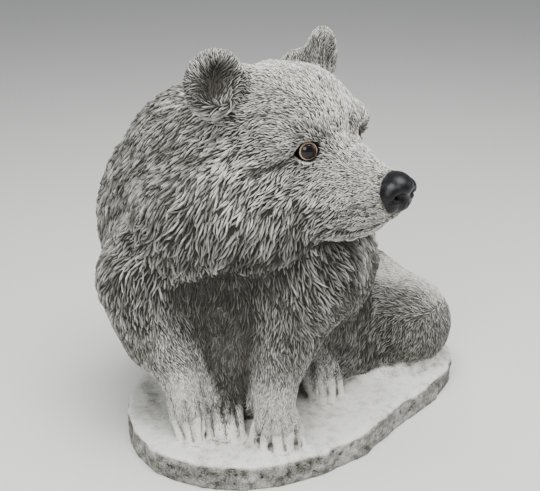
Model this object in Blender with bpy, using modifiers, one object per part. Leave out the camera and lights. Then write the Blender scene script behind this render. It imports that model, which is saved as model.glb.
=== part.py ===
"""A garden raccoon of cast stone, crouching on the oval slab it was cast with, and its two set-in eyes."""

import math

import bpy
from mathutils import Euler, Matrix, Vector

# Driving dimensions, in metres.
FIGURE_HEIGHT = 0.276
SLAB_LENGTH = 0.284
SLAB_WIDTH = 0.186
SLAB_THICKNESS = 0.020
EYE_DIAMETER = 0.0145
EYE_CLEARANCE = 0.0003

# The figure is carved in parts of its own height: one of these parts is a millimetre at its real height.
FIGURE_PARTS = 276.0
PART = FIGURE_HEIGHT / FIGURE_PARTS

# How finely each stage of the modelling is resolved, in how many rounds it is smoothed, and what is left.
TRUNK_VOXEL = 4.0 * PART
TRUNK_ROUNDS = 14
HEAD_VOXEL = 3.0 * PART
HEAD_ROUNDS = 20
LIMB_VOXEL = 2.4 * PART
LIMB_ROUNDS = 7
DETAIL_VOXEL = 1.7 * PART
DETAIL_ROUNDS = 2
FIGURE_TRIANGLES = 7200

# The slab's rim, as shares of half its length and half its width, from the broad end round the front.
SLAB_RIM = (
    (-0.95, 0.20), (-0.97, -0.28), (-0.87, -0.63), (-0.58, -0.95), (-0.28, -1.03), (0.03, -0.95),
    (0.42, -0.66), (0.78, -0.38), (1.00, 0.00), (0.96, 0.38), (0.66, 0.72), (0.10, 0.92),
    (-0.44, 0.92), (-0.80, 0.62),
)
SLAB_ROOT = 0.012

# The lower edge of the ruff, from the right shoulder round to the jaw, and its thickness there.
RUFF_EDGE = [
    (-118, 12, 142), (-106, -10, 139), (-97, -25, 140), (-86, -42, 151),
    (-70, -54, 163), (-48, -57, 169), (-30, -54, 171),
]
RUFF_THICKNESS = [16, 20, 21, 21, 21, 20, 17]

# The head's own frame: its origin is midway between the eyes, X runs to the nose and Z to the crown.
HEAD_PLACE = Vector((-3.0, -59.0, 213.0))
HEAD_YAW = math.radians(-63.0)

# The eyes look out and ahead. Their middles lie this far apart and this far behind the head frame's origin.
EYES_APART = 47.0
EYES_BACK = 4.0
EYE_SPREAD = math.radians(37.0)
ORBIT_RADIUS = 14.0
ORBIT_FLOOR = 2.6


def clear_scene():
    """Removes everything that the file opened with."""
    for thing in list(bpy.data.objects):
        bpy.data.objects.remove(thing)


def collection_named(name, shown):
    """A new collection in the scene, for parts that are shown or for helpers that aren't."""
    group = bpy.data.collections.new(name)
    group.hide_render = not shown
    bpy.context.scene.collection.children.link(group)
    return group


def material_of(name, colour, roughness, metallic=0.0):
    """A Principled material of one colour."""
    material = bpy.data.materials.new(name)
    material.use_nodes = True
    shader = material.node_tree.nodes["Principled BSDF"]
    shader.inputs["Base Color"].default_value = (*colour, 1.0)
    shader.inputs["Roughness"].default_value = roughness
    shader.inputs["Metallic"].default_value = metallic
    return material


def head_matrix():
    """Carries the head's own frame into the slab's, in parts of the figure."""
    return Matrix.Translation(HEAD_PLACE) @ Matrix.Rotation(HEAD_YAW, 4, "Z")


def on_slab(point):
    """A point of the figure, in parts from the middle of the slab's top, as a place in metres."""
    return Vector(point) * PART + Vector((0, 0, SLAB_THICKNESS))


def lump(centre, radii, turn=(0, 0, 0), frame=None):
    """An ellipsoid of clay. Centre and radii are in parts of the figure, turn in degrees."""
    bpy.ops.mesh.primitive_uv_sphere_add(segments=32, ring_count=20, radius=1)
    ball = bpy.context.object
    place = Matrix.Translation(Vector(centre))
    turned = Euler([math.radians(angle) for angle in turn], "XYZ").to_matrix().to_4x4()
    shape = (frame or Matrix.Identity(4)) @ place @ turned @ Matrix.Diagonal((*radii, 1))
    ball.data.transform(Matrix.Translation(on_slab((0, 0, 0))) @ Matrix.Scale(PART, 4) @ shape)
    return ball


def limb(points, radii, frame=None):
    """A round limb of clay along a smooth curve, as thick as its radii at each point."""
    line = bpy.data.curves.new("limb", "CURVE")
    line.dimensions = "3D"
    line.bevel_depth = PART
    line.bevel_resolution = 5
    line.use_fill_caps = True
    line.resolution_u = 10
    spline = line.splines.new("BEZIER")
    spline.bezier_points.add(len(points) - 1)
    for handle, point, radius in zip(spline.bezier_points, points, radii):
        handle.co = on_slab((frame or Matrix.Identity(4)) @ Vector(point))
        handle.radius = radius
        handle.handle_left_type = handle.handle_right_type = "AUTO"
    curve = bpy.data.objects.new("limb", line)
    bpy.context.scene.collection.objects.link(curve)
    ends = [lump(points[i], [radii[i]] * 3, frame=frame) for i in (0, -1)]
    return [as_mesh(curve), *ends]


def as_mesh(thing):
    """The mesh of an object with its modifiers or bevel worked in, in place of the object."""
    bpy.context.view_layer.update()
    graph = bpy.context.evaluated_depsgraph_get()
    mesh = bpy.data.meshes.new_from_object(thing.evaluated_get(graph))
    mesh.transform(thing.matrix_world)
    made = bpy.data.objects.new(thing.name, mesh)
    bpy.context.scene.collection.objects.link(made)
    bpy.data.objects.remove(thing)
    return made


def clay(name, pieces, voxel, rounds):
    """Presses pieces into one closed skin: joined, remeshed and smoothed."""
    bpy.ops.object.select_all(action="DESELECT")
    flat = [piece for group in pieces for piece in (group if isinstance(group, list) else [group])]
    for piece in flat:
        piece.select_set(True)
    bpy.context.view_layer.objects.active = flat[0]
    bpy.ops.object.join()
    whole = bpy.context.object
    whole.name = name
    remesh = whole.modifiers.new("one_skin", "REMESH")
    remesh.mode = "VOXEL"
    remesh.voxel_size = voxel
    smooth = whole.modifiers.new("smoothed", "SMOOTH")
    smooth.factor = 0.5
    smooth.iterations = int(rounds)
    return as_mesh(whole)


def scooped(whole, hollows):
    """A mesh with hollows taken out of it."""
    for hollow in hollows:
        scoop = whole.modifiers.new("scoop", "BOOLEAN")
        scoop.operation = "DIFFERENCE"
        scoop.solver = "EXACT"
        scoop.object = hollow
    made = as_mesh(whole)
    for hollow in hollows:
        bpy.data.objects.remove(hollow)
    return made


def trunk():
    """The big masses: chest, arched back, belly and rump."""
    return [
        lump((-55, 15, 112), (82, 62, 80), turn=(0, 0, -22)),
        lump((-56, 38, 134), (86, 64, 90), turn=(0, 0, -22)),
        lump((-54, 30, 180), (68, 56, 60), turn=(0, 0, -22)),
        lump((-44, 4, 172), (68, 56, 62), turn=(0, 0, -22)),
        lump((-58, -15, 160), (74, 60, 42), turn=(0, 0, -22)),
        lump((8, 24, 92), (60, 50, 72), turn=(0, 20, 6)),
        lump((16, 0, 104), (44, 46, 56)),
        lump((52, 38, 44), (66, 46, 48)),
        lump((-48, -13, 56), (44, 44, 74), turn=(0, 0, -22)),
        lump((-10, 24, 40), (80, 50, 52)),
    ]


def tail():
    """The thick tail, laid along the back of the slab round the rump."""
    line = [(104, 34, 26), (78, 58, 20), (36, 70, 18), (-12, 72, 16), (-54, 66, 13), (-84, 52, 9)]
    return limb(line, [20, 20, 19, 18, 15, 9])


def thighs():
    """The folded hind legs: the left one shows at the right of the chest, the right one is round the back."""
    return [
        lump((-26, 44, 44), (52, 40, 48), turn=(0, 0, 8)),
        lump((97, 8, 32), (40, 42, 40), turn=(0, 0, 10)),
        limb([(80, 4, 18), (50, -5, 15), (16, -21, 14)], [22, 15, 12]),
    ]


def ruff():
    """The heavy lower edge of the neck fur, which hangs over the chest from the jaw to the right shoulder."""
    return limb(RUFF_EDGE, RUFF_THICKNESS)


def mound():
    """The low swelling of the ground that the haunch sits on."""
    return lump((88, 4, 0), (50, 31, 12))


def forelegs():
    """Both forelegs, from the shoulder to the back of the hand."""
    right = limb([(-112, 14, 104), (-117, -3, 71), (-104, -26, 46), (-102, -33, 24)], [38, 24, 17, 14])
    left = limb([(-10, -28, 108), (-32, -52, 76), (-45, -65, 51), (-49, -71, 28)], [44, 26, 17, 14])
    hands = [lump((-101, -36, 17), (16, 13, 13)), lump((-48, -74, 19), (17, 13, 14), turn=(0, 0, -15))]
    return [right, left, *hands]


def skull():
    """The head without its ears."""
    frame = head_matrix()
    return [
        lump((-38, 0, 0), (46, 51, 47), frame=frame),
        lump((-52, -4, 10), (30, 42, 37), frame=frame),
        lump((-14, 0, 5), (20, 35, 27), frame=frame),
        lump((-14, 21, 9), (18, 15, 14), frame=frame),
        lump((-14, -22, 10), (19, 16, 15), frame=frame),
        lump((-46, 36, -36), (44, 34, 46), turn=(20, 0, 0), frame=frame),
        lump((-46, -36, -36), (44, 34, 46), turn=(-20, 0, 0), frame=frame),
        lump((-40, 0, -52), (46, 48, 38), frame=frame),
    ]


def orbits():
    """The shallow round hollows that the eyes lie in."""
    reach = ORBIT_FLOOR + ORBIT_RADIUS
    made = []
    for side in (1, -1):
        away = Vector((math.cos(EYE_SPREAD), side * math.sin(EYE_SPREAD), 0))
        middle = Vector((-EYES_BACK, side * EYES_APART / 2, 0)) + away * reach
        made.append(lump(middle, [ORBIT_RADIUS] * 3, frame=head_matrix()))
    return made


def brows():
    """A ridge over each eye and the bone at its outer side."""
    frame = head_matrix()
    return [
        lump((-10, 30, 12.5), (12, 15, 8), turn=(0, 0, 25), frame=frame),
        lump((-12, 37, 1), (9, 8, 14), turn=(0, 0, 25), frame=frame),
        lump((-11, -25, 14), (14, 14, 6.5), turn=(0, 0, -25), frame=frame),
        lump((-16.5, -34.5, 0), (11, 8, 15), turn=(0, 0, -25), frame=frame),
    ]


def muzzle():
    """The snout with its bridge over the lower jaw, and the nose leather at its end is laid on later."""
    frame = head_matrix()
    return [
        limb([(-10, 0, -20), (16, 0, -28), (32, 0, -29), (38, 0, -28)], [32, 27, 20.5, 16.5], frame=frame),
        limb([(-2, 0, -8), (14, 0, -12), (33, 0, -18.3), (43, 0, -20)], [15.5, 14, 12, 11], frame=frame),
        lump((2, 17, -36), (31, 20, 24), turn=(0, 0, -12), frame=frame),
        lump((2, -17, -36), (31, 20, 24), turn=(0, 0, 12), frame=frame),
        lump((12, 0, -48), (31, 20, 14.5), turn=(0, -13, 0), frame=frame),
    ]


def ears():
    """Two round ears with a hollow in front, each with its inner edge running down into the crown."""
    frame = head_matrix()
    made = []
    for side in (1, -1):
        tip = lump((-54, side * 54, 40), (10, 21.5, 22), turn=(side * -14, 0, side * 20), frame=frame)
        hollow = lump((-44, side * 57, 42), (9, 14, 15), turn=(side * -14, 0, side * 20), frame=frame)
        root = lump((-58, side * 36, 30), (15, 26, 18), turn=(side * -14, 0, side * 20), frame=frame)
        made += [scooped(tip, [hollow]), root]
    return made


def nose():
    """The nose leather at the end of the muzzle."""
    return [lump((48.5, 0, -23), (10.5, 13.5, 13), frame=head_matrix())]


def fingers(knuckles, tips, width):
    """Fingers of a hand or foot, each from its knuckle over a bent joint to its tip on the slab."""
    made = []
    for knuckle, tip in zip(knuckles, tips):
        root, end = Vector(knuckle), Vector(tip)
        bend = root.lerp(end, 0.55) + Vector((0, 0, width * 0.45))
        made.append(limb([root, bend, end], [width, width * 0.95, width * 0.7]))
    return made


def paws():
    """The fingers of both forepaws and the toes of both hind feet."""
    right = fingers(
        [(-112, -31, 24), (-106, -34, 25), (-99, -36, 25), (-92, -35, 24), (-88, -30, 42)],
        [(-111, -43, 3), (-105, -51, 3), (-98, -54, 3), (-90, -48, 3), (-85, -38, 19)],
        4.4,
    )
    left = fingers(
        [(-57, -67, 23), (-54, -71, 24), (-48, -75, 24), (-42, -76, 24), (-36, -74, 22), (-58, -54, 48)],
        [(-65, -68, 3), (-60, -78, 3), (-53, -86, 3), (-44, -88, 3), (-32, -83, 3), (-63, -60, 24)],
        4.4,
    )
    hind_left = fingers(
        [(-4, -26, 23), (3, -28, 25), (10, -29, 25), (17, -28, 24)],
        [(-1, -31, 3), (4, -37, 3), (12, -39, 3), (22, -33, 3)],
        4.6,
    )
    hind_right = fingers(
        [(-82, -40, 22), (-76, -42, 23), (-69, -42, 23)],
        [(-83, -54, 3), (-76, -57, 3), (-68, -56, 3)],
        4.6,
    )
    feet = [lump((7, -28, 13), (15, 9, 13)), lump((-76, -42, 12), (12, 9, 13))]
    return [*right, *left, *hind_left, *hind_right, *feet]


def slab():
    """The egg-shaped slab, with a root below the ground line that the flat cut takes off."""
    outline = bpy.data.curves.new("slab", "CURVE")
    outline.dimensions = "2D"
    outline.fill_mode = "BOTH"
    outline.extrude = (SLAB_THICKNESS + SLAB_ROOT) / 2
    outline.resolution_u = 8
    spline = outline.splines.new("BEZIER")
    spline.bezier_points.add(len(SLAB_RIM) - 1)
    for handle, (along, across) in zip(spline.bezier_points, SLAB_RIM):
        handle.co = (along * SLAB_LENGTH / 2, across * SLAB_WIDTH / 2, 0)
        handle.handle_left_type = handle.handle_right_type = "AUTO"
    spline.use_cyclic_u = True
    made = bpy.data.objects.new("slab", outline)
    made.location.z = (SLAB_THICKNESS - SLAB_ROOT) / 2
    bpy.context.scene.collection.objects.link(made)
    return as_mesh(made)


def eye_place(side):
    """The middle of one eye's glass, in metres."""
    return on_slab(head_matrix() @ Vector((-EYES_BACK, side * EYES_APART / 2, 0)))


def cut_with(whole, cutter, group):
    """Takes a cutter's volume off a mesh and keeps the cutter out of sight."""
    for holder in list(cutter.users_collection):
        holder.objects.unlink(cutter)
    group.objects.link(cutter)
    cutter.hide_render = True
    cutter.display_type = "WIRE"
    cut = whole.modifiers.new("cut", "BOOLEAN")
    cut.operation = "DIFFERENCE"
    cut.solver = "EXACT"
    cut.object = cutter


def ground_cutter():
    """A block under the ground line, for the flat underside."""
    bpy.ops.mesh.primitive_cube_add(size=1)
    block = bpy.context.object
    block.name = "ground_cutter"
    block.dimensions = (SLAB_LENGTH * 1.6, SLAB_WIDTH * 2.2, SLAB_ROOT * 4)
    block.location.z = -SLAB_ROOT * 2
    return block


def socket_cutter(name, side):
    """The hollow one eye is set in: the ball and the clearance round it."""
    bpy.ops.mesh.primitive_uv_sphere_add(segments=20, ring_count=12, radius=EYE_DIAMETER / 2 + EYE_CLEARANCE)
    ball = bpy.context.object
    ball.name = name
    ball.location = eye_place(side)
    return ball


def eye(name, side, material, group):
    """One glass eye, a ball of which the front stands out of its socket."""
    bpy.ops.mesh.primitive_uv_sphere_add(segments=20, ring_count=12, radius=EYE_DIAMETER / 2)
    ball = bpy.context.object
    ball.name = name
    ball.location = eye_place(side)
    ball.data.shade_smooth()
    ball.data.materials.append(material)
    for holder in list(ball.users_collection):
        holder.objects.unlink(ball)
    group.objects.link(ball)
    return ball


def main():
    """Builds the statue and its eyes."""
    clear_scene()
    statue_group = collection_named("raccoon_statue", shown=True)
    helpers = collection_named("cutters", shown=False)
    stone = material_of("cast_stone", (0.42, 0.41, 0.39), 0.9)
    glass = material_of("eye_glass", (0.03, 0.02, 0.015), 0.08)

    body = clay("body", trunk() + thighs(), TRUNK_VOXEL, TRUNK_ROUNDS)
    masses = clay("masses", [body, *skull(), tail()], HEAD_VOXEL, HEAD_ROUNDS)
    masses = scooped(masses, orbits())
    figure = clay("figure", [masses, ruff(), *forelegs(), *brows(), *muzzle()], LIMB_VOXEL, LIMB_ROUNDS)
    whole = [figure, *ears(), *nose(), *paws(), mound(), slab()]
    raccoon = clay("raccoon", whole, DETAIL_VOXEL, DETAIL_ROUNDS)
    thinned = raccoon.modifiers.new("thinned", "DECIMATE")
    thinned.ratio = FIGURE_TRIANGLES / (2 * len(raccoon.data.polygons))
    raccoon = as_mesh(raccoon)
    raccoon.name = "raccoon"
    for holder in list(raccoon.users_collection):
        holder.objects.unlink(raccoon)
    statue_group.objects.link(raccoon)
    raccoon.data.materials.clear()
    raccoon.data.materials.append(stone)
    cut_with(raccoon, ground_cutter(), helpers)
    cut_with(raccoon, socket_cutter("socket_left", 1), helpers)
    cut_with(raccoon, socket_cutter("socket_right", -1), helpers)
    eye("eye_left", 1, glass, statue_group)
    eye("eye_right", -1, glass, statue_group)


main()
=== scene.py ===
"""The looks of a cast stone raccoon crouching on an oval slab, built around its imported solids."""

import logging
import math
from dataclasses import dataclass, field
from enum import Enum
from typing import NamedTuple

import bpy
import numpy as np
from mathutils import Matrix, Vector, noise
from mathutils.bvhtree import BVHTree
from mathutils.kdtree import KDTree


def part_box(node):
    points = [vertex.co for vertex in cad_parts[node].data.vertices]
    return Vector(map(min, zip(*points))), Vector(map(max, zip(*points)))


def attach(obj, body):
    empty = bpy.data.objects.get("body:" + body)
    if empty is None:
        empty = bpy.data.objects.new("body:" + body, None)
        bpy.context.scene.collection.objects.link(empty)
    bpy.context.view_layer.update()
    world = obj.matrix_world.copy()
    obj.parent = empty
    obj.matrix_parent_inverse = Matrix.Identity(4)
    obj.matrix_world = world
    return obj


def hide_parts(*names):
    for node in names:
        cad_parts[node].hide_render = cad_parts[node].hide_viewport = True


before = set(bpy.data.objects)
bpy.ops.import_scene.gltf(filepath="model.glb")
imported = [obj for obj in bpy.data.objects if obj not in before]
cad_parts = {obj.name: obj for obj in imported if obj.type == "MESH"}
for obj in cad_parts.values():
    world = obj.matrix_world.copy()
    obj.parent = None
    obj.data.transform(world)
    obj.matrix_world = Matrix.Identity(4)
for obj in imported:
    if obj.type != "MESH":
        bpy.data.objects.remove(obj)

LOG = logging.getLogger("raccoon")
MM = 0.001
SLAB_TOP = 0.020


def slab_point(x: float, y: float, z: float) -> Vector:
    """A place given in millimetres from the middle of the slab's top.

    Args:
        x: along the slab, towards the rump.
        y: across the slab, away from the viewer.
        z: above the slab's top.

    Returns:
        The place in metres in the frame.
    """
    return Vector((x * MM, y * MM, z * MM + SLAB_TOP))


@dataclass(frozen=True)
class HeadFrame:
    """The head's own frame, midway between the eyes: X to the nose, Y to its left, Z to the crown."""

    place: tuple[float, float, float] = (-3.0, -59.0, 213.0)
    yaw: float = -63.0

    def matrix(self) -> Matrix:
        """Carries millimetres of the head's frame into metres of the row's."""
        turn = Matrix.Rotation(math.radians(self.yaw), 4, "Z")
        return Matrix.Translation(slab_point(*self.place)) @ turn @ Matrix.Scale(MM, 4)

    def point(self, x: float, y: float, z: float) -> Vector:
        """A place of the head, in metres."""
        return self.matrix() @ Vector((x, y, z))

    def way(self, x: float, y: float, z: float) -> Vector:
        """A direction of the head, as a unit vector."""
        return (self.matrix().to_3x3() @ Vector((x, y, z))).normalized()

    def mirrored(self, place: Vector) -> Vector:
        """The same place on the other side of the head."""
        inside = self.matrix().inverted() @ place
        return self.matrix() @ Vector((inside.x, -inside.y, inside.z))


@dataclass(frozen=True)
class PhotoView:
    """Where the photograph was taken from, with its picture size in pixels."""

    target: tuple[float, float, float] = (-20.0, 10.0, 116.0)
    azimuth: float = -22.0
    elevation: float = 23.0
    distance: float = 0.675
    focal_pixels: float = 900.0
    width: int = 540
    height: int = 491

    def back(self) -> Vector:
        """The direction from the statue to the camera."""
        turn, tilt = math.radians(self.azimuth), math.radians(self.elevation)
        return Vector((math.sin(turn) * math.cos(tilt), -math.cos(turn) * math.cos(tilt), math.sin(tilt)))

    def eye(self) -> Vector:
        """The camera's place."""
        return slab_point(*self.target) + self.back() * self.distance

    def axes(self) -> tuple[Vector, Vector]:
        """The picture's right and up directions."""
        turn = math.radians(self.azimuth)
        right = Vector((math.cos(turn), math.sin(turn), 0))
        return right, self.back().cross(right)

    def ray(self, x: float, y: float) -> Vector:
        """The direction in which a pixel of the photograph looks."""
        right, up = self.axes()
        across = (x - self.width / 2) / self.focal_pixels
        above = (self.height / 2 - y) / self.focal_pixels
        return (right * across + up * above - self.back()).normalized()

    def hit(self, x: float, y: float, tree: BVHTree) -> tuple[Vector, Vector] | None:
        """The place and normal of the surface that a pixel shows.

        Args:
            x: the pixel's column.
            y: the pixel's row.
            tree: the surface.

        Returns:
            The place and the normal there, or None where the pixel shows none of it.
        """
        place, normal, _, _ = tree.ray_cast(self.eye(), self.ray(x, y))
        return None if place is None else (place, normal)

    def along_surface(self, x: float, y: float, toward: tuple[float, float], normal: Vector) -> Vector:
        """The direction on a surface that runs a given way in the picture.

        Args:
            x: the pixel's column.
            y: the pixel's row.
            toward: right and down, as seen in the picture.
            normal: the surface's normal at that pixel.

        Returns:
            A unit vector that lies in the surface.
        """
        right, up = self.axes()
        flat = right * toward[0] - up * toward[1]
        look = self.ray(x, y)
        facing = look.dot(normal)
        if abs(facing) > 0.15:
            flat = flat - look * (flat.dot(normal) / facing)
        return (flat - normal * flat.dot(normal)).normalized()

    def add_camera(self) -> None:
        """Puts the camera there and makes it the scene's."""
        bpy.ops.object.camera_add(location=self.eye())
        camera = bpy.context.object
        camera.name = "photo_camera"
        camera.rotation_euler = self.back().to_track_quat("Z", "Y").to_euler()
        camera.data.sensor_width = 36
        camera.data.lens = self.focal_pixels * 36 / self.width
        bpy.context.scene.camera = camera


HEAD = HeadFrame()
VIEW = PhotoView()


# Making meshes


def deselect() -> None:
    """Leaves nothing selected."""
    bpy.ops.object.select_all(action="DESELECT")


def only(thing: bpy.types.Object) -> None:
    """Selects one object alone and makes it the active one."""
    deselect()
    thing.select_set(True)
    bpy.context.view_layer.objects.active = thing


def settle(thing: bpy.types.Object) -> None:
    """Works an object's place, turn and scale into its mesh."""
    only(thing)
    bpy.ops.object.transform_apply(location=True, rotation=True, scale=True)


def finish_modifiers(thing: bpy.types.Object) -> None:
    """Applies all of an object's modifiers, in order."""
    only(thing)
    for modifier in list(thing.modifiers):
        bpy.ops.object.modifier_apply(modifier=modifier.name)


def merged_copy(node: bpy.types.Object, name: str) -> bpy.types.Object:
    """A copy of a frame node with its loose triangles merged.

    Args:
        node: the frame's node, which stays as it is.
        name: the copy's name.

    Returns:
        The copy, with a mesh of its own and no material.
    """
    mesh = node.data.copy()
    mesh.name = name
    mesh.materials.clear()
    copy = bpy.data.objects.new(name, mesh)
    bpy.context.scene.collection.objects.link(copy)
    copy.matrix_world = node.matrix_world.copy()
    only(copy)
    bpy.ops.object.mode_set(mode="EDIT")
    bpy.ops.mesh.select_all(action="SELECT")
    bpy.ops.mesh.remove_doubles(threshold=0.00001)
    bpy.ops.object.mode_set(mode="OBJECT")
    settle(copy)
    return copy


def ball(centre: Vector, radii: tuple[float, float, float], turn: Matrix | None = None) -> bpy.types.Object:
    """An ellipsoid of clay.

    Args:
        centre: its middle, in metres.
        radii: its half sizes in millimetres.
        turn: how it is turned.

    Returns:
        The ellipsoid as a mesh object.
    """
    deselect()
    bpy.ops.mesh.primitive_uv_sphere_add(segments=20, ring_count=14, radius=1)
    made = bpy.context.object
    shape = Matrix.Diagonal((*(radius * MM for radius in radii), 1))
    made.matrix_world = Matrix.Translation(centre) @ (turn.to_4x4() if turn else Matrix.Identity(4)) @ shape
    settle(made)
    return made


def rod(points: list[Vector], radii: list[float]) -> list[bpy.types.Object]:
    """A tapered round rod of clay with round ends, along a smooth curve.

    Args:
        points: the curve's points, in metres.
        radii: the rod's radius at each point, in millimetres.

    Returns:
        The rod and its two ends, as mesh objects.
    """
    deselect()
    line = bpy.data.curves.new("rod", "CURVE")
    line.dimensions = "3D"
    line.bevel_depth = MM
    line.bevel_resolution = 3
    line.resolution_u = 6
    line.use_fill_caps = True
    spline = line.splines.new("BEZIER")
    spline.bezier_points.add(len(points) - 1)
    for handle, point, radius in zip(spline.bezier_points, points, radii):
        handle.co = point
        handle.radius = radius
        handle.handle_left_type = handle.handle_right_type = "AUTO"
    made = bpy.data.objects.new("rod", line)
    bpy.context.scene.collection.objects.link(made)
    only(made)
    bpy.ops.object.convert(target="MESH")
    return [bpy.context.object, *(ball(points[i], (radii[i],) * 3) for i in (0, -1))]


def pressed_together(pieces: list[bpy.types.Object], name: str, voxel: float, rounds: int) -> bpy.types.Object:
    """Makes one closed skin of several overlapping pieces.

    Args:
        pieces: closed meshes that overlap.
        name: the skin's name.
        voxel: how finely it is resolved, in millimetres.
        rounds: how often it is smoothed.

    Returns:
        The skin.
    """
    deselect()
    for piece in pieces:
        piece.select_set(True)
    bpy.context.view_layer.objects.active = pieces[0]
    if len(pieces) > 1:
        bpy.ops.object.join()
    skin = bpy.context.object
    skin.name = name
    remesh = skin.modifiers.new("one_skin", "REMESH")
    remesh.mode = "VOXEL"
    remesh.voxel_size = voxel * MM
    if rounds:
        smooth = skin.modifiers.new("smoothed", "SMOOTH")
        smooth.factor = 0.5
        smooth.iterations = rounds
    finish_modifiers(skin)
    return skin


def vertex_places(mesh: bpy.types.Mesh) -> np.ndarray:
    """All vertices of a mesh, one row each."""
    places = np.empty(len(mesh.vertices) * 3)
    mesh.vertices.foreach_get("co", places)
    return places.reshape(-1, 3)


def vertex_normals(mesh: bpy.types.Mesh) -> np.ndarray:
    """All vertex normals of a mesh, one row each."""
    normals = np.empty(len(mesh.vertices) * 3)
    mesh.vertices.foreach_get("normal", normals)
    return normals.reshape(-1, 3)


def move_vertices(mesh: bpy.types.Mesh, places: np.ndarray) -> None:
    """Puts a mesh's vertices at new places."""
    mesh.vertices.foreach_set("co", places.ravel())
    mesh.update()


def write_values(mesh: bpy.types.Mesh, name: str, values: np.ndarray) -> None:
    """Keeps one number for each vertex under a name that a material can read."""
    layer = mesh.attributes.get(name) or mesh.attributes.new(name, "FLOAT", "POINT")
    layer.data.foreach_set("value", np.clip(values, 0, 1).astype(np.float32))


def surface_of(thing: bpy.types.Object) -> BVHTree:
    """A mesh object's surface, for finding places on it."""
    mesh = thing.data
    mesh.calc_loop_triangles()
    triangles = np.empty(len(mesh.loop_triangles) * 3, dtype=np.int32)
    mesh.loop_triangles.foreach_get("vertices", triangles)
    return BVHTree.FromPolygons(vertex_places(mesh).tolist(), triangles.reshape(-1, 3).tolist())


def near_line(places: np.ndarray, line: list[Vector]) -> np.ndarray:
    """How far each place is from a line of several points.

    Args:
        places: one place a row, in metres.
        line: the line's points, in metres.

    Returns:
        The distances, in millimetres.
    """
    best = np.full(len(places), 1e9)
    for start, end in zip(line[:-1], line[1:]):
        a, b = np.array(start), np.array(end)
        run = b - a
        share = np.clip(((places - a) @ run) / max(run @ run, 1e-12), 0, 1)
        best = np.minimum(best, np.linalg.norm(places - (a + share[:, None] * run), axis=1))
    return best / MM


def smooth_step(low: float, high: float, value: np.ndarray) -> np.ndarray:
    """Goes smoothly from 0 at low to 1 at high."""
    share = np.clip((value - low) / (high - low), 0, 1)
    return share * share * (3 - 2 * share)


def relaxed(mesh: bpy.types.Mesh, places: np.ndarray, rounds: int) -> np.ndarray:
    """Draws every vertex towards the middle of its neighbours.

    Args:
        mesh: the mesh whose edges tell the neighbours.
        places: its vertices, one row each.
        rounds: how often.

    Returns:
        The new places.
    """
    edges = np.empty(len(mesh.edges) * 2, dtype=np.int32)
    mesh.edges.foreach_get("vertices", edges)
    edges = edges.reshape(-1, 2)
    count = np.maximum(np.bincount(edges.ravel(), minlength=len(places)), 1)[:, None]
    soft = places.copy()
    for _ in range(rounds):
        total = np.zeros_like(places)
        for axis in range(3):
            total[:, axis] += np.bincount(edges[:, 0], soft[edges[:, 1], axis], len(places))
            total[:, axis] += np.bincount(edges[:, 1], soft[edges[:, 0], axis], len(places))
        soft = 0.5 * soft + 0.5 * total / count
    return soft


# Finishes


@dataclass(frozen=True)
class StoneFinish:
    """Cast stone, washed dark, with its raised places brushed pale; the same ramp gives painted shade and highlights.
    """

    deep: tuple[float, float, float] = (0.017, 0.015, 0.011)
    low: tuple[float, float, float] = (0.060, 0.056, 0.047)
    middle: tuple[float, float, float] = (0.205, 0.200, 0.180)
    high: tuple[float, float, float] = (0.410, 0.405, 0.375)
    pale: tuple[float, float, float] = (0.760, 0.755, 0.705)
    mottle: float = 0.70
    fur_mottle: float = 0.08
    roughness: float = 0.92
    grain: float = 0.35
    black: tuple[float, float, float] = (0.005, 0.005, 0.006)
    black_roughness: float = 0.37


@dataclass(frozen=True)
class EyeFinish:
    """A domed eye: dark in the middle, a copper ring, and black round it."""

    pupil: tuple[float, float, float] = (0.004, 0.003, 0.003)
    iris: tuple[float, float, float] = (0.022, 0.012, 0.007)
    ring: tuple[float, float, float] = (0.46, 0.33, 0.23)
    black: tuple[float, float, float] = (0.006, 0.005, 0.005)


class GroupSocket(Enum):
    """The kinds of socket that the node groups have."""

    NUMBER = "NodeSocketFloat"
    COLOUR = "NodeSocketColor"
    VECTOR = "NodeSocketVector"


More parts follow.
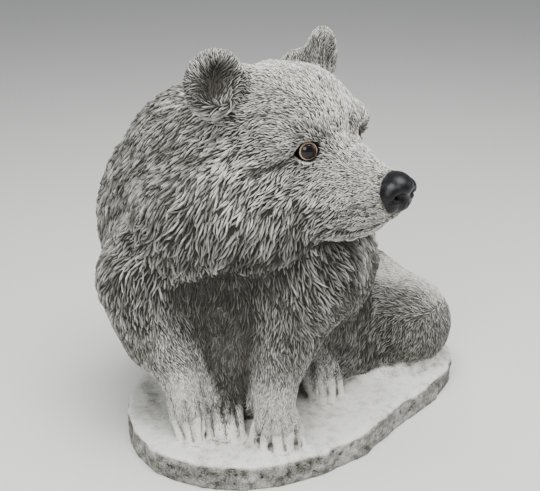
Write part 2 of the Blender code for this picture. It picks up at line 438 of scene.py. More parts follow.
class WashBrushAndShade:
    """A node group: how raised a place is, with painted shade and highlights, becomes washed and dry-brushed stone."""

    name = "wash_brush_and_shade"

    def __init__(self, finish: StoneFinish) -> None:
        """Keeps the finish whose colours the group has."""
        self.finish = finish

    def build(self) -> bpy.types.NodeTree:
        """Makes the group once.

        Returns:
            The group: Raised in, Mottle in, Color and Roughness out.
        """
        group = bpy.data.node_groups.new(self.name, "ShaderNodeTree")
        for socket, kind in (("Raised", GroupSocket.NUMBER), ("Mottle", GroupSocket.NUMBER)):
            group.interface.new_socket(socket, in_out="INPUT", socket_type=kind.value)
        group.interface.new_socket("Color", in_out="OUTPUT", socket_type=GroupSocket.COLOUR.value)
        group.interface.new_socket("Roughness", in_out="OUTPUT", socket_type=GroupSocket.NUMBER.value)
        nodes, links = group.nodes, group.links
        entry, leave = nodes.new("NodeGroupInput"), nodes.new("NodeGroupOutput")
        place = nodes.new("ShaderNodeTexCoord")
        patches = nodes.new("ShaderNodeTexNoise")
        patches.inputs["Scale"].default_value = 38
        patches.inputs["Detail"].default_value = 5
        patches.inputs["Roughness"].default_value = 0.62
        specks = nodes.new("ShaderNodeTexNoise")
        specks.inputs["Scale"].default_value = 900
        specks.inputs["Detail"].default_value = 2
        stains = nodes.new("ShaderNodeTexNoise")
        stains.inputs["Scale"].default_value = 150
        stains.inputs["Detail"].default_value = 4
        both = nodes.new("ShaderNodeMath")
        both.operation = "ADD"
        three = nodes.new("ShaderNodeMath")
        three.operation = "ADD"
        shift = nodes.new("ShaderNodeMath")
        shift.operation = "SUBTRACT"
        shift.inputs[1].default_value = 1.5
        scaled = nodes.new("ShaderNodeMath")
        scaled.operation = "MULTIPLY"
        total = nodes.new("ShaderNodeMath")
        total.operation = "ADD"
        total.use_clamp = True
        ramp = nodes.new("ShaderNodeValToRGB")
        ramp.color_ramp.interpolation = "LINEAR"
        stops = ((0.0, self.finish.deep), (0.18, self.finish.low), (0.38, self.finish.middle),
                 (0.60, self.finish.high), (0.92, self.finish.pale))
        while len(ramp.color_ramp.elements) < len(stops):
            ramp.color_ramp.elements.new(0.5)
        for element, (where, colour) in zip(ramp.color_ramp.elements, stops):
            element.position = where
            element.color = (*colour, 1)
        dull = nodes.new("ShaderNodeMapRange")
        dull.inputs["To Min"].default_value = 0.78
        dull.inputs["To Max"].default_value = self.finish.roughness
        links.new(place.outputs["Object"], patches.inputs["Vector"])
        links.new(place.outputs["Object"], specks.inputs["Vector"])
        links.new(place.outputs["Object"], stains.inputs["Vector"])
        links.new(patches.outputs["Fac"], both.inputs[0])
        links.new(specks.outputs["Fac"], both.inputs[1])
        links.new(both.outputs[0], three.inputs[0])
        links.new(stains.outputs["Fac"], three.inputs[1])
        links.new(three.outputs[0], shift.inputs[0])
        links.new(shift.outputs[0], scaled.inputs[0])
        links.new(entry.outputs["Mottle"], scaled.inputs[1])
        links.new(entry.outputs["Raised"], total.inputs[0])
        links.new(scaled.outputs[0], total.inputs[1])
        links.new(total.outputs[0], ramp.inputs["Fac"])
        links.new(total.outputs[0], dull.inputs["Value"])
        links.new(ramp.outputs["Color"], leave.inputs["Color"])
        links.new(dull.outputs["Result"], leave.inputs["Roughness"])
        return group


class SandGrain:
    """A node group with the height of sandy grain and small pits of a casting."""

    name = "sand_grain"

    def build(self) -> bpy.types.NodeTree:
        """Makes the group once.

        Returns:
            The group: Pits in, Height out.
        """
        group = bpy.data.node_groups.new(self.name, "ShaderNodeTree")
        group.interface.new_socket("Pits", in_out="INPUT", socket_type=GroupSocket.NUMBER.value)
        group.interface.new_socket("Height", in_out="OUTPUT", socket_type=GroupSocket.NUMBER.value)
        nodes, links = group.nodes, group.links
        entry, leave = nodes.new("NodeGroupInput"), nodes.new("NodeGroupOutput")
        place = nodes.new("ShaderNodeTexCoord")
        fine = nodes.new("ShaderNodeTexNoise")
        fine.inputs["Scale"].default_value = 1100
        fine.inputs["Detail"].default_value = 3
        coarse = nodes.new("ShaderNodeTexNoise")
        coarse.inputs["Scale"].default_value = 260
        coarse.inputs["Detail"].default_value = 4
        holes = nodes.new("ShaderNodeTexVoronoi")
        holes.inputs["Scale"].default_value = 150
        depth = nodes.new("ShaderNodeMapRange")
        depth.inputs["From Min"].default_value = 0.0
        depth.inputs["From Max"].default_value = 0.22
        depth.inputs["To Min"].default_value = -1.0
        depth.inputs["To Max"].default_value = 0.0
        pitted = nodes.new("ShaderNodeMath")
        pitted.operation = "MULTIPLY"
        grains = nodes.new("ShaderNodeMath")
        grains.operation = "ADD"
        whole = nodes.new("ShaderNodeMath")
        whole.operation = "ADD"
        for texture in (fine, coarse, holes):
            links.new(place.outputs["Object"], texture.inputs["Vector"])
        links.new(holes.outputs["Distance"], depth.inputs["Value"])
        links.new(depth.outputs["Result"], pitted.inputs[0])
        links.new(entry.outputs["Pits"], pitted.inputs[1])
        links.new(fine.outputs["Fac"], grains.inputs[0])
        links.new(coarse.outputs["Fac"], grains.inputs[1])
        links.new(grains.outputs[0], whole.inputs[0])
        links.new(pitted.outputs[0], whole.inputs[1])
        links.new(whole.outputs[0], leave.inputs["Height"])
        return group


class Palette:
    """The materials of the statue, each made once."""

    def __init__(self) -> None:
        """Makes the node groups that the materials share."""
        self.stone_finish = StoneFinish()
        self.wash_and_shade = WashBrushAndShade(self.stone_finish).build()
        self.grain = SandGrain().build()

    def stone(self, name: str, pits: float, painted: bool) -> bpy.types.Material:
        """Cast stone that reads how raised it is, with its painted shade and highlights, from its mesh.

        Args:
            name: the material's name.
            pits: how deep its small pits are, from 0 to 1.
            painted: whether black paint covers the places its mesh marks as painted.

        Returns:
            The material.
        """
        finish = self.stone_finish
        material = bpy.data.materials.new(name)
        material.use_nodes = True
        nodes, links = material.node_tree.nodes, material.node_tree.links
        shader = nodes["Principled BSDF"]
        shader.inputs["Specular IOR Level"].default_value = 0.28
        raised = nodes.new("ShaderNodeAttribute")
        raised.attribute_name = "raised"
        wash_and_shade = nodes.new("ShaderNodeGroup")
        wash_and_shade.node_tree = self.wash_and_shade
        wash_and_shade.inputs["Mottle"].default_value = finish.mottle if painted else finish.fur_mottle
        grain = nodes.new("ShaderNodeGroup")
        grain.node_tree = self.grain
        grain.inputs["Pits"].default_value = pits
        bump = nodes.new("ShaderNodeBump")
        bump.inputs["Strength"].default_value = finish.grain
        bump.inputs["Distance"].default_value = 0.0004
        links.new(raised.outputs["Fac"], wash_and_shade.inputs["Raised"])
        links.new(grain.outputs["Height"], bump.inputs["Height"])
        links.new(bump.outputs["Normal"], shader.inputs["Normal"])
        if not painted:
            links.new(wash_and_shade.outputs["Color"], shader.inputs["Base Color"])
            links.new(wash_and_shade.outputs["Roughness"], shader.inputs["Roughness"])
            return material
        paint = nodes.new("ShaderNodeAttribute")
        paint.attribute_name = "paint"
        colour = nodes.new("ShaderNodeMix")
        colour.data_type = "RGBA"
        colour.inputs["B"].default_value = (*finish.black, 1)
        rough = nodes.new("ShaderNodeMix")
        rough.inputs["B"].default_value = finish.black_roughness
        links.new(paint.outputs["Fac"], colour.inputs["Factor"])
        links.new(wash_and_shade.outputs["Color"], colour.inputs["A"])
        links.new(colour.outputs["Result"], shader.inputs["Base Color"])
        links.new(paint.outputs["Fac"], rough.inputs["Factor"])
        links.new(wash_and_shade.outputs["Roughness"], rough.inputs["A"])
        links.new(rough.outputs["Result"], shader.inputs["Roughness"])
        return material

    def eye(self, name: str) -> bpy.types.Material:
        """The glossy eye, whose rings follow how far a place is from the middle of its front.

        Args:
            name: the material's name.

        Returns:
            The material.
        """
        finish = EyeFinish()
        material = bpy.data.materials.new(name)
        material.use_nodes = True
        nodes, links = material.node_tree.nodes, material.node_tree.links
        shader = nodes["Principled BSDF"]
        shader.inputs["Roughness"].default_value = 0.06
        shader.inputs["Specular IOR Level"].default_value = 0.36
        reach = nodes.new("ShaderNodeAttribute")
        reach.attribute_name = "from_middle"
        ramp = nodes.new("ShaderNodeValToRGB")
        stops = ((0.0, finish.pupil), (0.35, finish.pupil), (0.66, finish.iris), (0.69, finish.iris),
                 (0.71, finish.ring), (0.80, finish.ring), (0.825, finish.black), (1.0, finish.black))
        while len(ramp.color_ramp.elements) < len(stops):
            ramp.color_ramp.elements.new(0.5)
        for element, (where, colour) in zip(ramp.color_ramp.elements, stops):
            element.position = where
            element.color = (*colour, 1)
        links.new(reach.outputs["Fac"], ramp.inputs["Fac"])
        links.new(ramp.outputs["Color"], shader.inputs["Base Color"])
        return material


# The casting


@dataclass(frozen=True)
class Stroke:
    """One pull of a carving tool: a groove, or a ridge where its depth is below 0."""

    line: tuple[Vector, ...]
    width: float
    depth: float


# The pulls of the tool on the near side of the face, each with its pixels, width and depth in millimetres.
SEEN_STROKES = (
    ([(393, 214), (386, 221), (372, 227), (352, 232), (338, 231), (325, 226)], 1.2, 2.4),
    ([(388, 228), (370, 234), (350, 237)], 2.4, -1.1),
    ([(384, 212), (368, 219), (352, 224), (334, 221)], 2.6, -0.9),
    ([(352, 208), (364, 209), (375, 206)], 0.8, 0.9),
    ([(349, 214), (362, 216), (376, 213)], 0.8, 0.9),
    ([(297, 154), (286, 161), (272, 168), (257, 178)], 2.6, 2.6),
    ([(318, 134), (302, 136), (286, 145), (268, 157), (250, 170)], 4.5, -2.1),
    ([(322, 158), (312, 168), (298, 168)], 2.6, 0.9),
)

# The grooves between the fingers and toes and a few single hollows, read and given in the same way.
SEEN_HAND_STROKES = (
    ([(266, 412), (262, 428), (256, 442)], 1.2, 2.2),
    ([(272, 422), (271, 436), (270, 449)], 1.2, 2.2),
    ([(281, 420), (283, 436), (285, 450)], 1.2, 2.2),
    ([(291, 419), (296, 432), (301, 445)], 1.2, 2.0),
    ([(170, 399), (174, 416), (184, 438)], 1.2, 2.2),
    ([(186, 403), (189, 422), (193, 441)], 1.2, 2.2),
    ([(199, 403), (203, 418), (204, 440)], 1.2, 2.2),
    ([(200, 383), (205, 398), (209, 412)], 1.2, 1.6),
    ([(317, 374), (319, 394)], 1.0, 1.8),
    ([(327, 372), (328, 396)], 1.0, 1.8),
    ([(335, 374), (337, 394)], 1.0, 1.8),
    ([(352, 124), (354, 133), (356, 142)], 4.2, 2.8),
    ([(166, 413), (163, 421), (156, 429), (146, 436)], 2.4, 0.8),
    ([(137, 403), (138, 404)], 1.6, 1.6),
    ([(230, 378), (231, 400), (230, 424)], 1.5, 1.3),
    ([(246, 372), (247, 392), (246, 408)], 1.4, 1.3),
    ([(221, 396), (221, 412), (219, 430)], 1.2, 1.3),
)


@dataclass
class Hand:
    """A forepaw or hind foot: its fingers, from knuckle to tip, in millimetres from the slab's top."""

    fingers: list[tuple[tuple[float, float, float], tuple[float, float, float]]]
    thickness: float
    claw: float = 3.6
    furred: float = 0.85

    def joints(self) -> list[list[Vector]]:
        """The line of each finger, from knuckle over its bend to its tip."""
        lines = []
        for knuckle, tip in self.fingers:
            root, end = Vector(knuckle), Vector(tip)
            bend = root.lerp(end, 0.58) + Vector((0, 0, self.thickness * 0.55))
            lines.append([slab_point(*root), slab_point(*bend), slab_point(*end)])
        return lines

    def build(self) -> list[bpy.types.Object]:
        """Makes the fingers and the claws at their tips.

        Returns:
            Overlapping closed meshes.
        """
        made = []
        for root, bend, end in self.joints():
            size = self.thickness
            made += rod([root, bend, end], [size, size * 0.95, size * 0.72])
            ahead = (end - bend).normalized()
            ahead.z = 0
            point = end + ahead.normalized() * self.claw * MM - Vector((0, 0, 1.4 * MM))
            made += rod([end, end.lerp(point, 0.6) + Vector((0, 0, 0.5 * MM)), point], [1.9, 1.5, 0.8])
        return made


@dataclass
class Casting:
    """The figure and its slab as one closed skin."""

    palette: Palette
    base_voxel: float = 1.6
    base_rounds: int = 9
    fine_voxel: float = 1.05
    fine_rounds: int = 2
    triangles: int = 186000
    eyes_apart: float = 47.0
    eyes_back: float = 4.0
    eye_way: tuple[float, float, float] = (0.80, 0.60, 0.02)
    lid_above: float = 8.4
    lid_below: float = 7.3
    lid_corner: float = 9.3
    hands: list[Hand] = field(default_factory=list)
    skin: bpy.types.Object | None = None

    def __post_init__(self) -> None:
        """Sets the fingers where the solid has them."""
        self.hands = [
            Hand([((-112, -31, 25), (-111, -43, 3.5)), ((-106, -34, 26), (-105, -50, 3.5)),
                  ((-99, -36, 26), (-98, -53, 3.5)), ((-92, -35, 25), (-90, -47, 3.5))], 3.9),
            Hand([((-88, -30, 42), (-85, -38, 20))], 4.0, 1.5, 2.0),
            Hand([((-57, -67, 24), (-65, -67, 3.5)), ((-54, -71, 25), (-60, -77, 3.5)),
                  ((-48, -75, 25), (-53, -85, 3.5)), ((-42, -76, 25), (-44, -87, 3.5)),
                  ((-36, -74, 23), (-33, -82, 3.2))], 3.9),
            Hand([((-58, -54, 48), (-63, -60, 24))], 4.6, 1.5, 2.0),
            Hand([((-4, -26, 22), (-1, -31, 3.5)), ((3, -28, 24), (4, -36, 3.5)), ((10, -29, 24), (12, -38, 3.5)),
                  ((17, -28, 23), (21, -33, 3.5))], 3.7, 2.2),
            Hand([((-82, -40, 22), (-83, -53, 3.5)), ((-76, -42, 23), (-76, -56, 3.5)),
                  ((-69, -42, 23), (-68, -55, 3.5))], 3.8, 2.2, 0.5),
        ]

    def build(self) -> bpy.types.Object:
        """Makes the skin, carves it and thins it where the fur will cover it.

        Returns:
            The skin.
        """
        base = merged_copy(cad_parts["raccoon"], "casting_base")
        base = pressed_together([base], "casting_base", self.base_voxel, self.base_rounds)
        pieces = [base]
        for hand in self.hands:
            pieces += hand.build()
        pieces += self.lids() + self.nose_wings()
        self.skin = pressed_together(pieces, "raccoon_casting", self.fine_voxel, self.fine_rounds)
        self.carve()
        self.roughen_slab()
        self.thin()
        only(self.skin)
        bpy.ops.object.shade_smooth()
        return self.skin

    def eye_middle(self, side: int) -> Vector:
        """The middle of the eye on one side: 1 for the left, -1 for the right."""
        return HEAD.point(-self.eyes_back, side * self.eyes_apart / 2, 0)

    def eye_axis(self, side: int) -> Vector:
        """The way the eye on one side looks."""
        ahead, aside, up = self.eye_way
        return HEAD.way(ahead, side * aside, up)

    def eye_frame(self, side: int) -> tuple[Vector, Vector, Vector]:
        """The eye's own directions.

        Args:
            side: 1 for the left eye, -1 for the right.

        Returns:
            The way it looks, the way to its front corner, and up along its lids.
        """
        axis = self.eye_axis(side)
        up = HEAD.way(-0.10, 0, 1)
        front = (up.cross(axis) * -side).normalized()
        return axis, front, axis.cross(front).normalized() * -side

    def lid_line(self, side: int, upper: bool) -> list[Vector]:
        """The edge of an eyelid.

        Args:
            side: 1 for the left eye, -1 for the right.
            upper: whether it is the upper lid.

        Returns:
            The line from the front corner to the back corner, in metres.
        """
        middle, (axis, front, up) = self.eye_middle(side), self.eye_frame(side)
        rise = self.lid_above if upper else -self.lid_below
        line = []
        for step in range(9):
            angle = math.pi * step / 8
            along = math.cos(angle) * self.lid_corner
            above = math.sin(angle) ** 1.15 * rise
            out = 3.6 - 1.9 * math.cos(angle) ** 2
            line.append(middle + (axis * out + front * along + up * above) * MM)
        return line

    def lids(self) -> list[bpy.types.Object]:
        """The rims of the eyelids.

        Returns:
            Overlapping closed meshes.
        """
        made = []
        for side in (1, -1):
            made += rod(self.lid_line(side, True), [1.0, 1.3, 1.5, 1.6, 1.6, 1.6, 1.5, 1.3, 1.0])
            made += rod(self.lid_line(side, False), [1.0, 1.1, 1.2, 1.2, 1.2, 1.2, 1.2, 1.1, 1.0])
        return made

    def nose_wings(self) -> list[bpy.types.Object]:
        """The soft swelling at each side of the nose leather and the upper lip under it.

        Returns:
            Overlapping closed meshes.
        """
        made = [ball(HEAD.point(50, 0, -17), (9.5, 12.0, 8.0)), ball(HEAD.point(52.5, 0, -28), (6.5, 6.5, 6.5))]
        for side in (1, -1):
            made.append(ball(HEAD.point(50.5, side * 7.2, -22), (8.6, 7.4, 8.5)))
            made.append(ball(HEAD.point(49.5, side * 7.5, -29), (6.5, 6.0, 6.0)))
            made.append(ball(HEAD.point(35, side * 8.0, -38), (11, 8.0, 6.5)))
        return made

    def strokes(self) -> list[Stroke]:
        """The grooves and ridges of the face, some taken from where the photograph shows them.

        Returns:
            The strokes, each on the skin.
        """
        tree = surface_of(self.skin)
        found = []

        def seen(pixels: list[tuple[float, float]], width: float, depth: float) -> None:
            """Adds a stroke under the given pixels and its twin on the far side of the face."""
            line = [hit[0] for hit in (VIEW.hit(x, y, tree) for x, y in pixels) if hit]
            if len(line) > 1:
                found.append(Stroke(tuple(line), width, depth))
                twin = [tree.find_nearest(HEAD.mirrored(place))[0] for place in line]
                found.append(Stroke(tuple(twin), width, depth))

        def once(pixels: list[tuple[float, float]], width: float, depth: float) -> None:
            """Adds a stroke under the given pixels."""
            line = [hit[0] for hit in (VIEW.hit(x, y, tree) for x, y in pixels) if hit]
            if len(line) > 1:
                found.append(Stroke(tuple(line), width, depth))

        def on_head(points: list[tuple[float, float, float]], width: float, depth: float) -> None:
            """Adds a stroke along places of the head, each moved to the skin."""
            line = [tree.find_nearest(HEAD.point(*point))[0] for point in points]
            found.append(Stroke(tuple(line), width, depth))

        for line, width, depth in SEEN_STROKES:
            seen(line, width, depth)
        for line, width, depth in SEEN_HAND_STROKES:
            once(line, width, depth)
        on_head([(59, 0, -28), (57, 0, -33), (52, 0, -40)], 0.9, 0.9)
        for side in (1, -1):
            on_head([(57.5, side * 6.8, -23.0), (56.4, side * 9.0, -23.0)], 2.3, 5.0)
            on_head([(56.4, side * 9.0, -23.0), (53.2, side * 12.2, -25.2)], 1.2, 1.8)
        return found

    def carve(self) -> None:
        """Pulls the strokes through the skin."""
        mesh = self.skin.data
        places, normals = vertex_places(mesh), vertex_normals(mesh)
        for stroke in self.strokes():
            reach = near_line(places, list(stroke.line))
            push = stroke.depth * np.exp(-((reach / stroke.width) ** 2))
            places = places - normals * (push * MM)[:, None]
        for hand in self.hands:
            for root, bend, end in hand.joints():
                knuckle = np.linalg.norm(places - np.array(bend), axis=1) / MM
                places = places + normals * (0.5 * np.exp(-((knuckle / 3.2) ** 2)) * MM)[:, None]
        move_vertices(mesh, places)

    def roughen_slab(self) -> None:
        """Gives the slab its rough-hewn sides, its uneven top and a flat underside."""
        mesh = self.skin.data
        places, normals = vertex_places(mesh), vertex_normals(mesh)
        height = places[:, 2] / MM
        away = np.full(len(places), 1e9)
        for hand in self.hands:
            for line in hand.joints():
                away = np.minimum(away, near_line(places, line))
        rounded = smooth_step(2, 7, height) * smooth_step(24, 21, height) * smooth_step(6, 12, away)
        places = places + (relaxed(mesh, places, 26) - places) * rounded[:, None]
        ground = (height < 19.6) | ((height < 21.4) & (normals[:, 2] > 0.5))
        edge = smooth_step(0.95, 0.35, np.abs(normals[:, 2])) * smooth_step(22.5, 19.5, height)
        push = np.zeros(len(places))
        for index in np.nonzero(ground)[0]:
            place = Vector(places[index])
            hewn = noise.fractal(place * 55, 1.0, 2.1, 4) * 2.2 + noise.noise(place * 160) * 0.9 - 0.7
            worn = noise.fractal(place * 40, 1.0, 2.0, 3) * 0.7 + noise.noise(place * 120) * 0.35
            push[index] = hewn * edge[index] + worn * (1 - edge[index])
        places = places + normals * (push * MM)[:, None]
        low = height < 1.2
        places[low & (normals[:, 2] < -0.5), 2] = 0.0
        places[:, 2] = np.maximum(places[:, 2], 0.0)
        move_vertices(mesh, places)

    def thin(self) -> None:
        """Keeps the carved places fine and thins the rest to the triangles that the piece may have."""
        mesh = self.skin.data
        places = vertex_places(mesh)
        head = np.linalg.norm(places - np.array(HEAD.point(18, 0, -14)), axis=1) / MM
        fine = 1 - smooth_step(40, 70, head)
        for hand in self.hands:
            for line in hand.joints():
                fine = np.maximum(fine, 1 - smooth_step(10, 18, near_line(places, line)))
        height = places[:, 2] / MM
        slab = smooth_step(24, 21, height) * smooth_step(2, 4, height)
        fine = np.maximum(fine, 0.5 * slab)
        group = self.skin.vertex_groups.new(name="thin_here")
        for level in range(11):
            chosen = np.nonzero(np.round((1 - fine) * 10).astype(int) == level)[0]
            if len(chosen):
                group.add(chosen.tolist(), level / 10, "REPLACE")
        mesh.calc_loop_triangles()
        thinned = self.skin.modifiers.new("thinned", "DECIMATE")
        thinned.ratio = self.triangles / len(mesh.loop_triangles)
        thinned.vertex_group = group.name
        thinned.vertex_group_factor = 1.0
        finish_modifiers(self.skin)
        self.skin.vertex_groups.clear()

    def bareness(self, places: np.ndarray) -> np.ndarray:
        """How bare of fur each place is, from 0 in deep fur to 1 on the slab, fingers, lids and nose.

        Args:
            places: one place a row, in metres.

        Returns:
            One number a place.
        """
        height = (places[:, 2] - SLAB_TOP) / MM
        ground = 2.0 + 7.0 * smooth_step(50, 66, places[:, 0] / MM) * (places[:, 1] < 0.012)
        bare = 1 - smooth_step(0, 3.5, height - ground)
        for hand in self.hands:
            for root, bend, end in hand.joints():
                start = root.lerp(bend, hand.furred) if hand.furred < 1 else bend.lerp(end, hand.furred - 1)
                line = [start, bend, end] if hand.furred < 1 else [start, end]
                if hand.furred < 2:
                    bare = np.maximum(bare, 1 - smooth_step(3.6, 6.5, near_line(places, line)))
        inward = np.array(HEAD.matrix().inverted())
        bare = np.maximum(bare, self.leather(places @ inward[:3, :3].T + inward[:3, 3]))
        for side in (1, -1):
            eye = np.linalg.norm(places - np.array(self.eye_middle(side)), axis=1) / MM
            bare = np.maximum(bare, 1 - smooth_step(9.7, 10.5, eye))
        return bare

    def leather(self, local: np.ndarray) -> np.ndarray:
        """Where the nose leather lies, in front of a rim that slants forward towards the lip.

        Args:
            local: one place of the head a row, in its own millimetres.

        Returns:
            One number a place, 1 on the leather.
        """
        rim = 43.8 + 0.45 * np.maximum(0, -15 - local[:, 2])
        return smooth_step(-0.4, 0.6, local[:, 0] - rim) * smooth_step(-36.5, -35.0, local[:, 2])

    def painted(self, places: np.ndarray) -> np.ndarray:
        """Where the black paint lies: the nose leather and the rims of the eyelids.

        Args:
            places: one place a row, in metres.

        Returns:
            One number a place, 1 under paint.
        """
        inward = np.array(HEAD.matrix().inverted())
        local = places @ inward[:3, :3].T + inward[:3, 3]
        paint = self.leather(local)
        for side in (1, -1):
            axis, front, up = self.eye_frame(side)
            offset = (places - np.array(self.eye_middle(side))) / MM
            along, above, out = (offset @ np.array(way) for way in (front, up, axis))
            rise = np.where(above > 0, self.lid_above, self.lid_below)
            almond = np.abs(along / (self.lid_corner + 0.4)) ** 1.7 + np.abs(above / (rise + 0.1)) ** 1.7
            paint = np.maximum(paint, (1 - smooth_step(0.92, 1.04, almond)) * (out > -2))
        return paint


# The fur


@dataclass(frozen=True)
class LockStyle:
    """What the carved locks of one kind of fur are like: sizes in millimetres, tones from 0 dark to 1 pale."""

    length: float
    width: float
    lift: float
    groove: float
    ridge: float
    reach: float = 16.0


class Fur(Enum):
    """The kinds of fur that the carver made."""

    MUZZLE = LockStyle(2.9, 1.20, 0.68, 0.01, 1.00, 11)
    FOREHEAD = LockStyle(5.0, 1.30, 0.95, 0.00, 0.98, 14)
    CHEEK = LockStyle(10.0, 2.20, 1.75, 0.00, 0.90, 14)
    RUFF = LockStyle(13.5, 2.90, 2.35, 0.00, 0.59, 16)
    NECK = LockStyle(10.5, 2.20, 1.55, 0.01, 0.57, 18)
    BACK = LockStyle(10.5, 2.20, 1.50, 0.02, 0.56, 24)
    SHOULDER = LockStyle(12.0, 2.60, 1.95, 0.01, 0.68, 18)
    # UNDER and CHEST have dark ridges: partly darker washing, partly painted shade under the head and ruff.
    UNDER = LockStyle(11.0, 2.20, 1.10, 0.01, 0.29, 16)
    CHEST = LockStyle(8.0, 1.55, 0.32, 0.14, 0.36, 16)
    FLANK = LockStyle(10.0, 2.20, 1.25, 0.02, 0.43, 16)
    UPPER_LEG = LockStyle(7.0, 1.80, 1.00, 0.03, 0.58, 14)
    LEG = LockStyle(4.4, 1.30, 0.55, 0.08, 0.75, 14)
    HAND = LockStyle(3.4, 1.00, 0.26, 0.44, 0.98, 12)
    HAUNCH = LockStyle(6.4, 1.50, 0.90, 0.03, 0.585, 13)
    # HAUNCH_TOP is paler: partly heavier dry-brushing, partly painted light on the top that faces up.
    HAUNCH_TOP = LockStyle(4.6, 1.20, 0.40, 0.50, 1.06, 14)
    EAR_RIM = LockStyle(4.8, 1.25, 0.85, 0.01, 0.80, 8)
    # EAR_INSIDE has dark ridges: painted shade in the ear cup.
    EAR_INSIDE = LockStyle(6.5, 1.40, 0.80, 0.00, 0.38, 8)
    TAIL = LockStyle(10.0, 2.20, 1.35, 0.04, 0.66, 20)


class Coat(Enum):
    """The pieces that the locks are gathered in."""

    FACE = "fur_of_face"
    RUFF = "fur_of_ruff"
    BACK = "fur_of_back"
    LEGS = "fur_of_legs"


COAT_OF = {
    Fur.MUZZLE: Coat.FACE, Fur.FOREHEAD: Coat.FACE, Fur.CHEEK: Coat.FACE, Fur.EAR_RIM: Coat.FACE,
    Fur.EAR_INSIDE: Coat.FACE, Fur.RUFF: Coat.RUFF, Fur.NECK: Coat.RUFF, Fur.SHOULDER: Coat.RUFF,
    Fur.UNDER: Coat.RUFF, Fur.BACK: Coat.BACK, Fur.TAIL: Coat.BACK, Fur.CHEST: Coat.BACK, Fur.FLANK: Coat.BACK,
    Fur.UPPER_LEG: Coat.LEGS, Fur.LEG: Coat.LEGS, Fur.HAND: Coat.LEGS, Fur.HAUNCH: Coat.LEGS,
    Fur.HAUNCH_TOP: Coat.LEGS,
}


# Painted shade along lines, partly where the real stone is washed darker: under the brow, jaw and ruff, behind the
# eye, in the ear cups, between the legs and on the slab beside a paw and behind the haunch; below 0, painted
# highlights on lit places such as the muzzle bridge, the ruff's edge, the thumb and the right foreleg: each with its
# pixels, its half width in millimetres and its strength.
SEEN_SHADE_AND_WASH = (
    ([(147, 384), (152, 395), (157, 404)], 5.0, 0.30),
    ([(166, 340), (175, 362), (183, 388)], 9.0, -0.24),
    ([(292, 330), (290, 352), (286, 372)], 9.0, 0.20),
    ([(296, 153), (285, 163), (270, 169), (258, 177)], 2.6, 0.62),
    ([(300, 134), (311, 128), (324, 133), (330, 142)], 4.0, 0.38),
    ([(300, 145), (288, 149), (276, 158)], 3.0, -0.14),
    ([(326, 152), (333, 160)], 2.2, 0.16),
    ([(349, 118), (351, 127), (353, 134)], 2.6, 0.30),
    ([(303, 62), (315, 46), (325, 60)], 8.0, 0.46),
    ([(345, 145), (370, 160), (390, 172)], 5.0, -0.12),
    ([(393, 214), (386, 221), (372, 227), (352, 232), (338, 231), (325, 226)], 1.3, 0.32),
    ([(325, 241), (350, 240), (375, 235), (388, 226)], 7.0, 0.60),
    ([(285, 232), (305, 240), (325, 240)], 6.0, 0.22),
    ([(349, 214), (362, 216), (376, 213)], 0.9, 0.35),
    ([(352, 208), (364, 209), (375, 206)], 0.9, 0.35),
    ([(205, 96), (213, 86), (218, 76)], 8.0, 0.45),
    ([(236, 108), (246, 98), (250, 84)], 3.5, 0.28),
    ([(330, 240), (296, 254), (266, 264), (240, 265), (222, 275)], 7.0, 0.34),
    ([(222, 275), (199, 290), (170, 301), (150, 296), (128, 288), (105, 284)], 6.0, 0.30),
    ([(128, 272), (150, 279), (170, 284), (199, 273), (220, 258), (245, 248), (268, 246)], 4.0, -0.16),
    ([(222, 300), (228, 340), (232, 385)], 12.0, 0.14),
    ([(250, 325), (246, 355), (244, 388)], 3.5, 0.34),
    ([(205, 325), (208, 350), (210, 368)], 3.5, 0.34),
    ([(322, 335), (317, 355), (312, 370)], 5.0, 0.34),
    ([(330, 345), (350, 352), (372, 350)], 5.0, 0.26),
    ([(340, 379), (352, 371), (375, 355), (400, 352), (425, 352)], 3.0, 0.30),
    ([(372, 262), (370, 290), (366, 315)], 4.0, 0.24),
    ([(312, 367), (316, 385)], 2.5, 0.30),
    ([(200, 112), (211, 120), (225, 118)], 5.0, 0.16),
    ([(253, 368), (252, 385), (249, 405)], 2.4, -0.40),
    ([(217, 412), (230, 411), (243, 411)], 7.0, 0.42),
    ([(396, 372), (420, 366), (444, 357)], 6.0, 0.14),
)


# The rings of the tail, which the photograph doesn't show: the middle of each and the tail's radius there, in
# millimetres from the slab's top.
TAIL_RINGS = (
    ((88, 50, 23), 21.0), ((56, 66, 20), 20.5), ((22, 71, 17), 19.5), ((-10, 72, 16), 19.0), ((-40, 69, 14), 17.5),
    ((-66, 61, 11), 14.5),
)


class SeenComb(NamedTuple):
    """How the fur runs at a pixel of the photograph: its column and row, the way right and down, and the fur's kind."""

    column: float
    row: float
    right: float
    down: float
    fur: Fur


class HiddenComb(NamedTuple):
    """How it runs on a side that the photograph doesn't show: the place and the way, from the slab's top."""

    place: tuple[float, float, float]
    way: tuple[float, float, float]
    fur: Fur


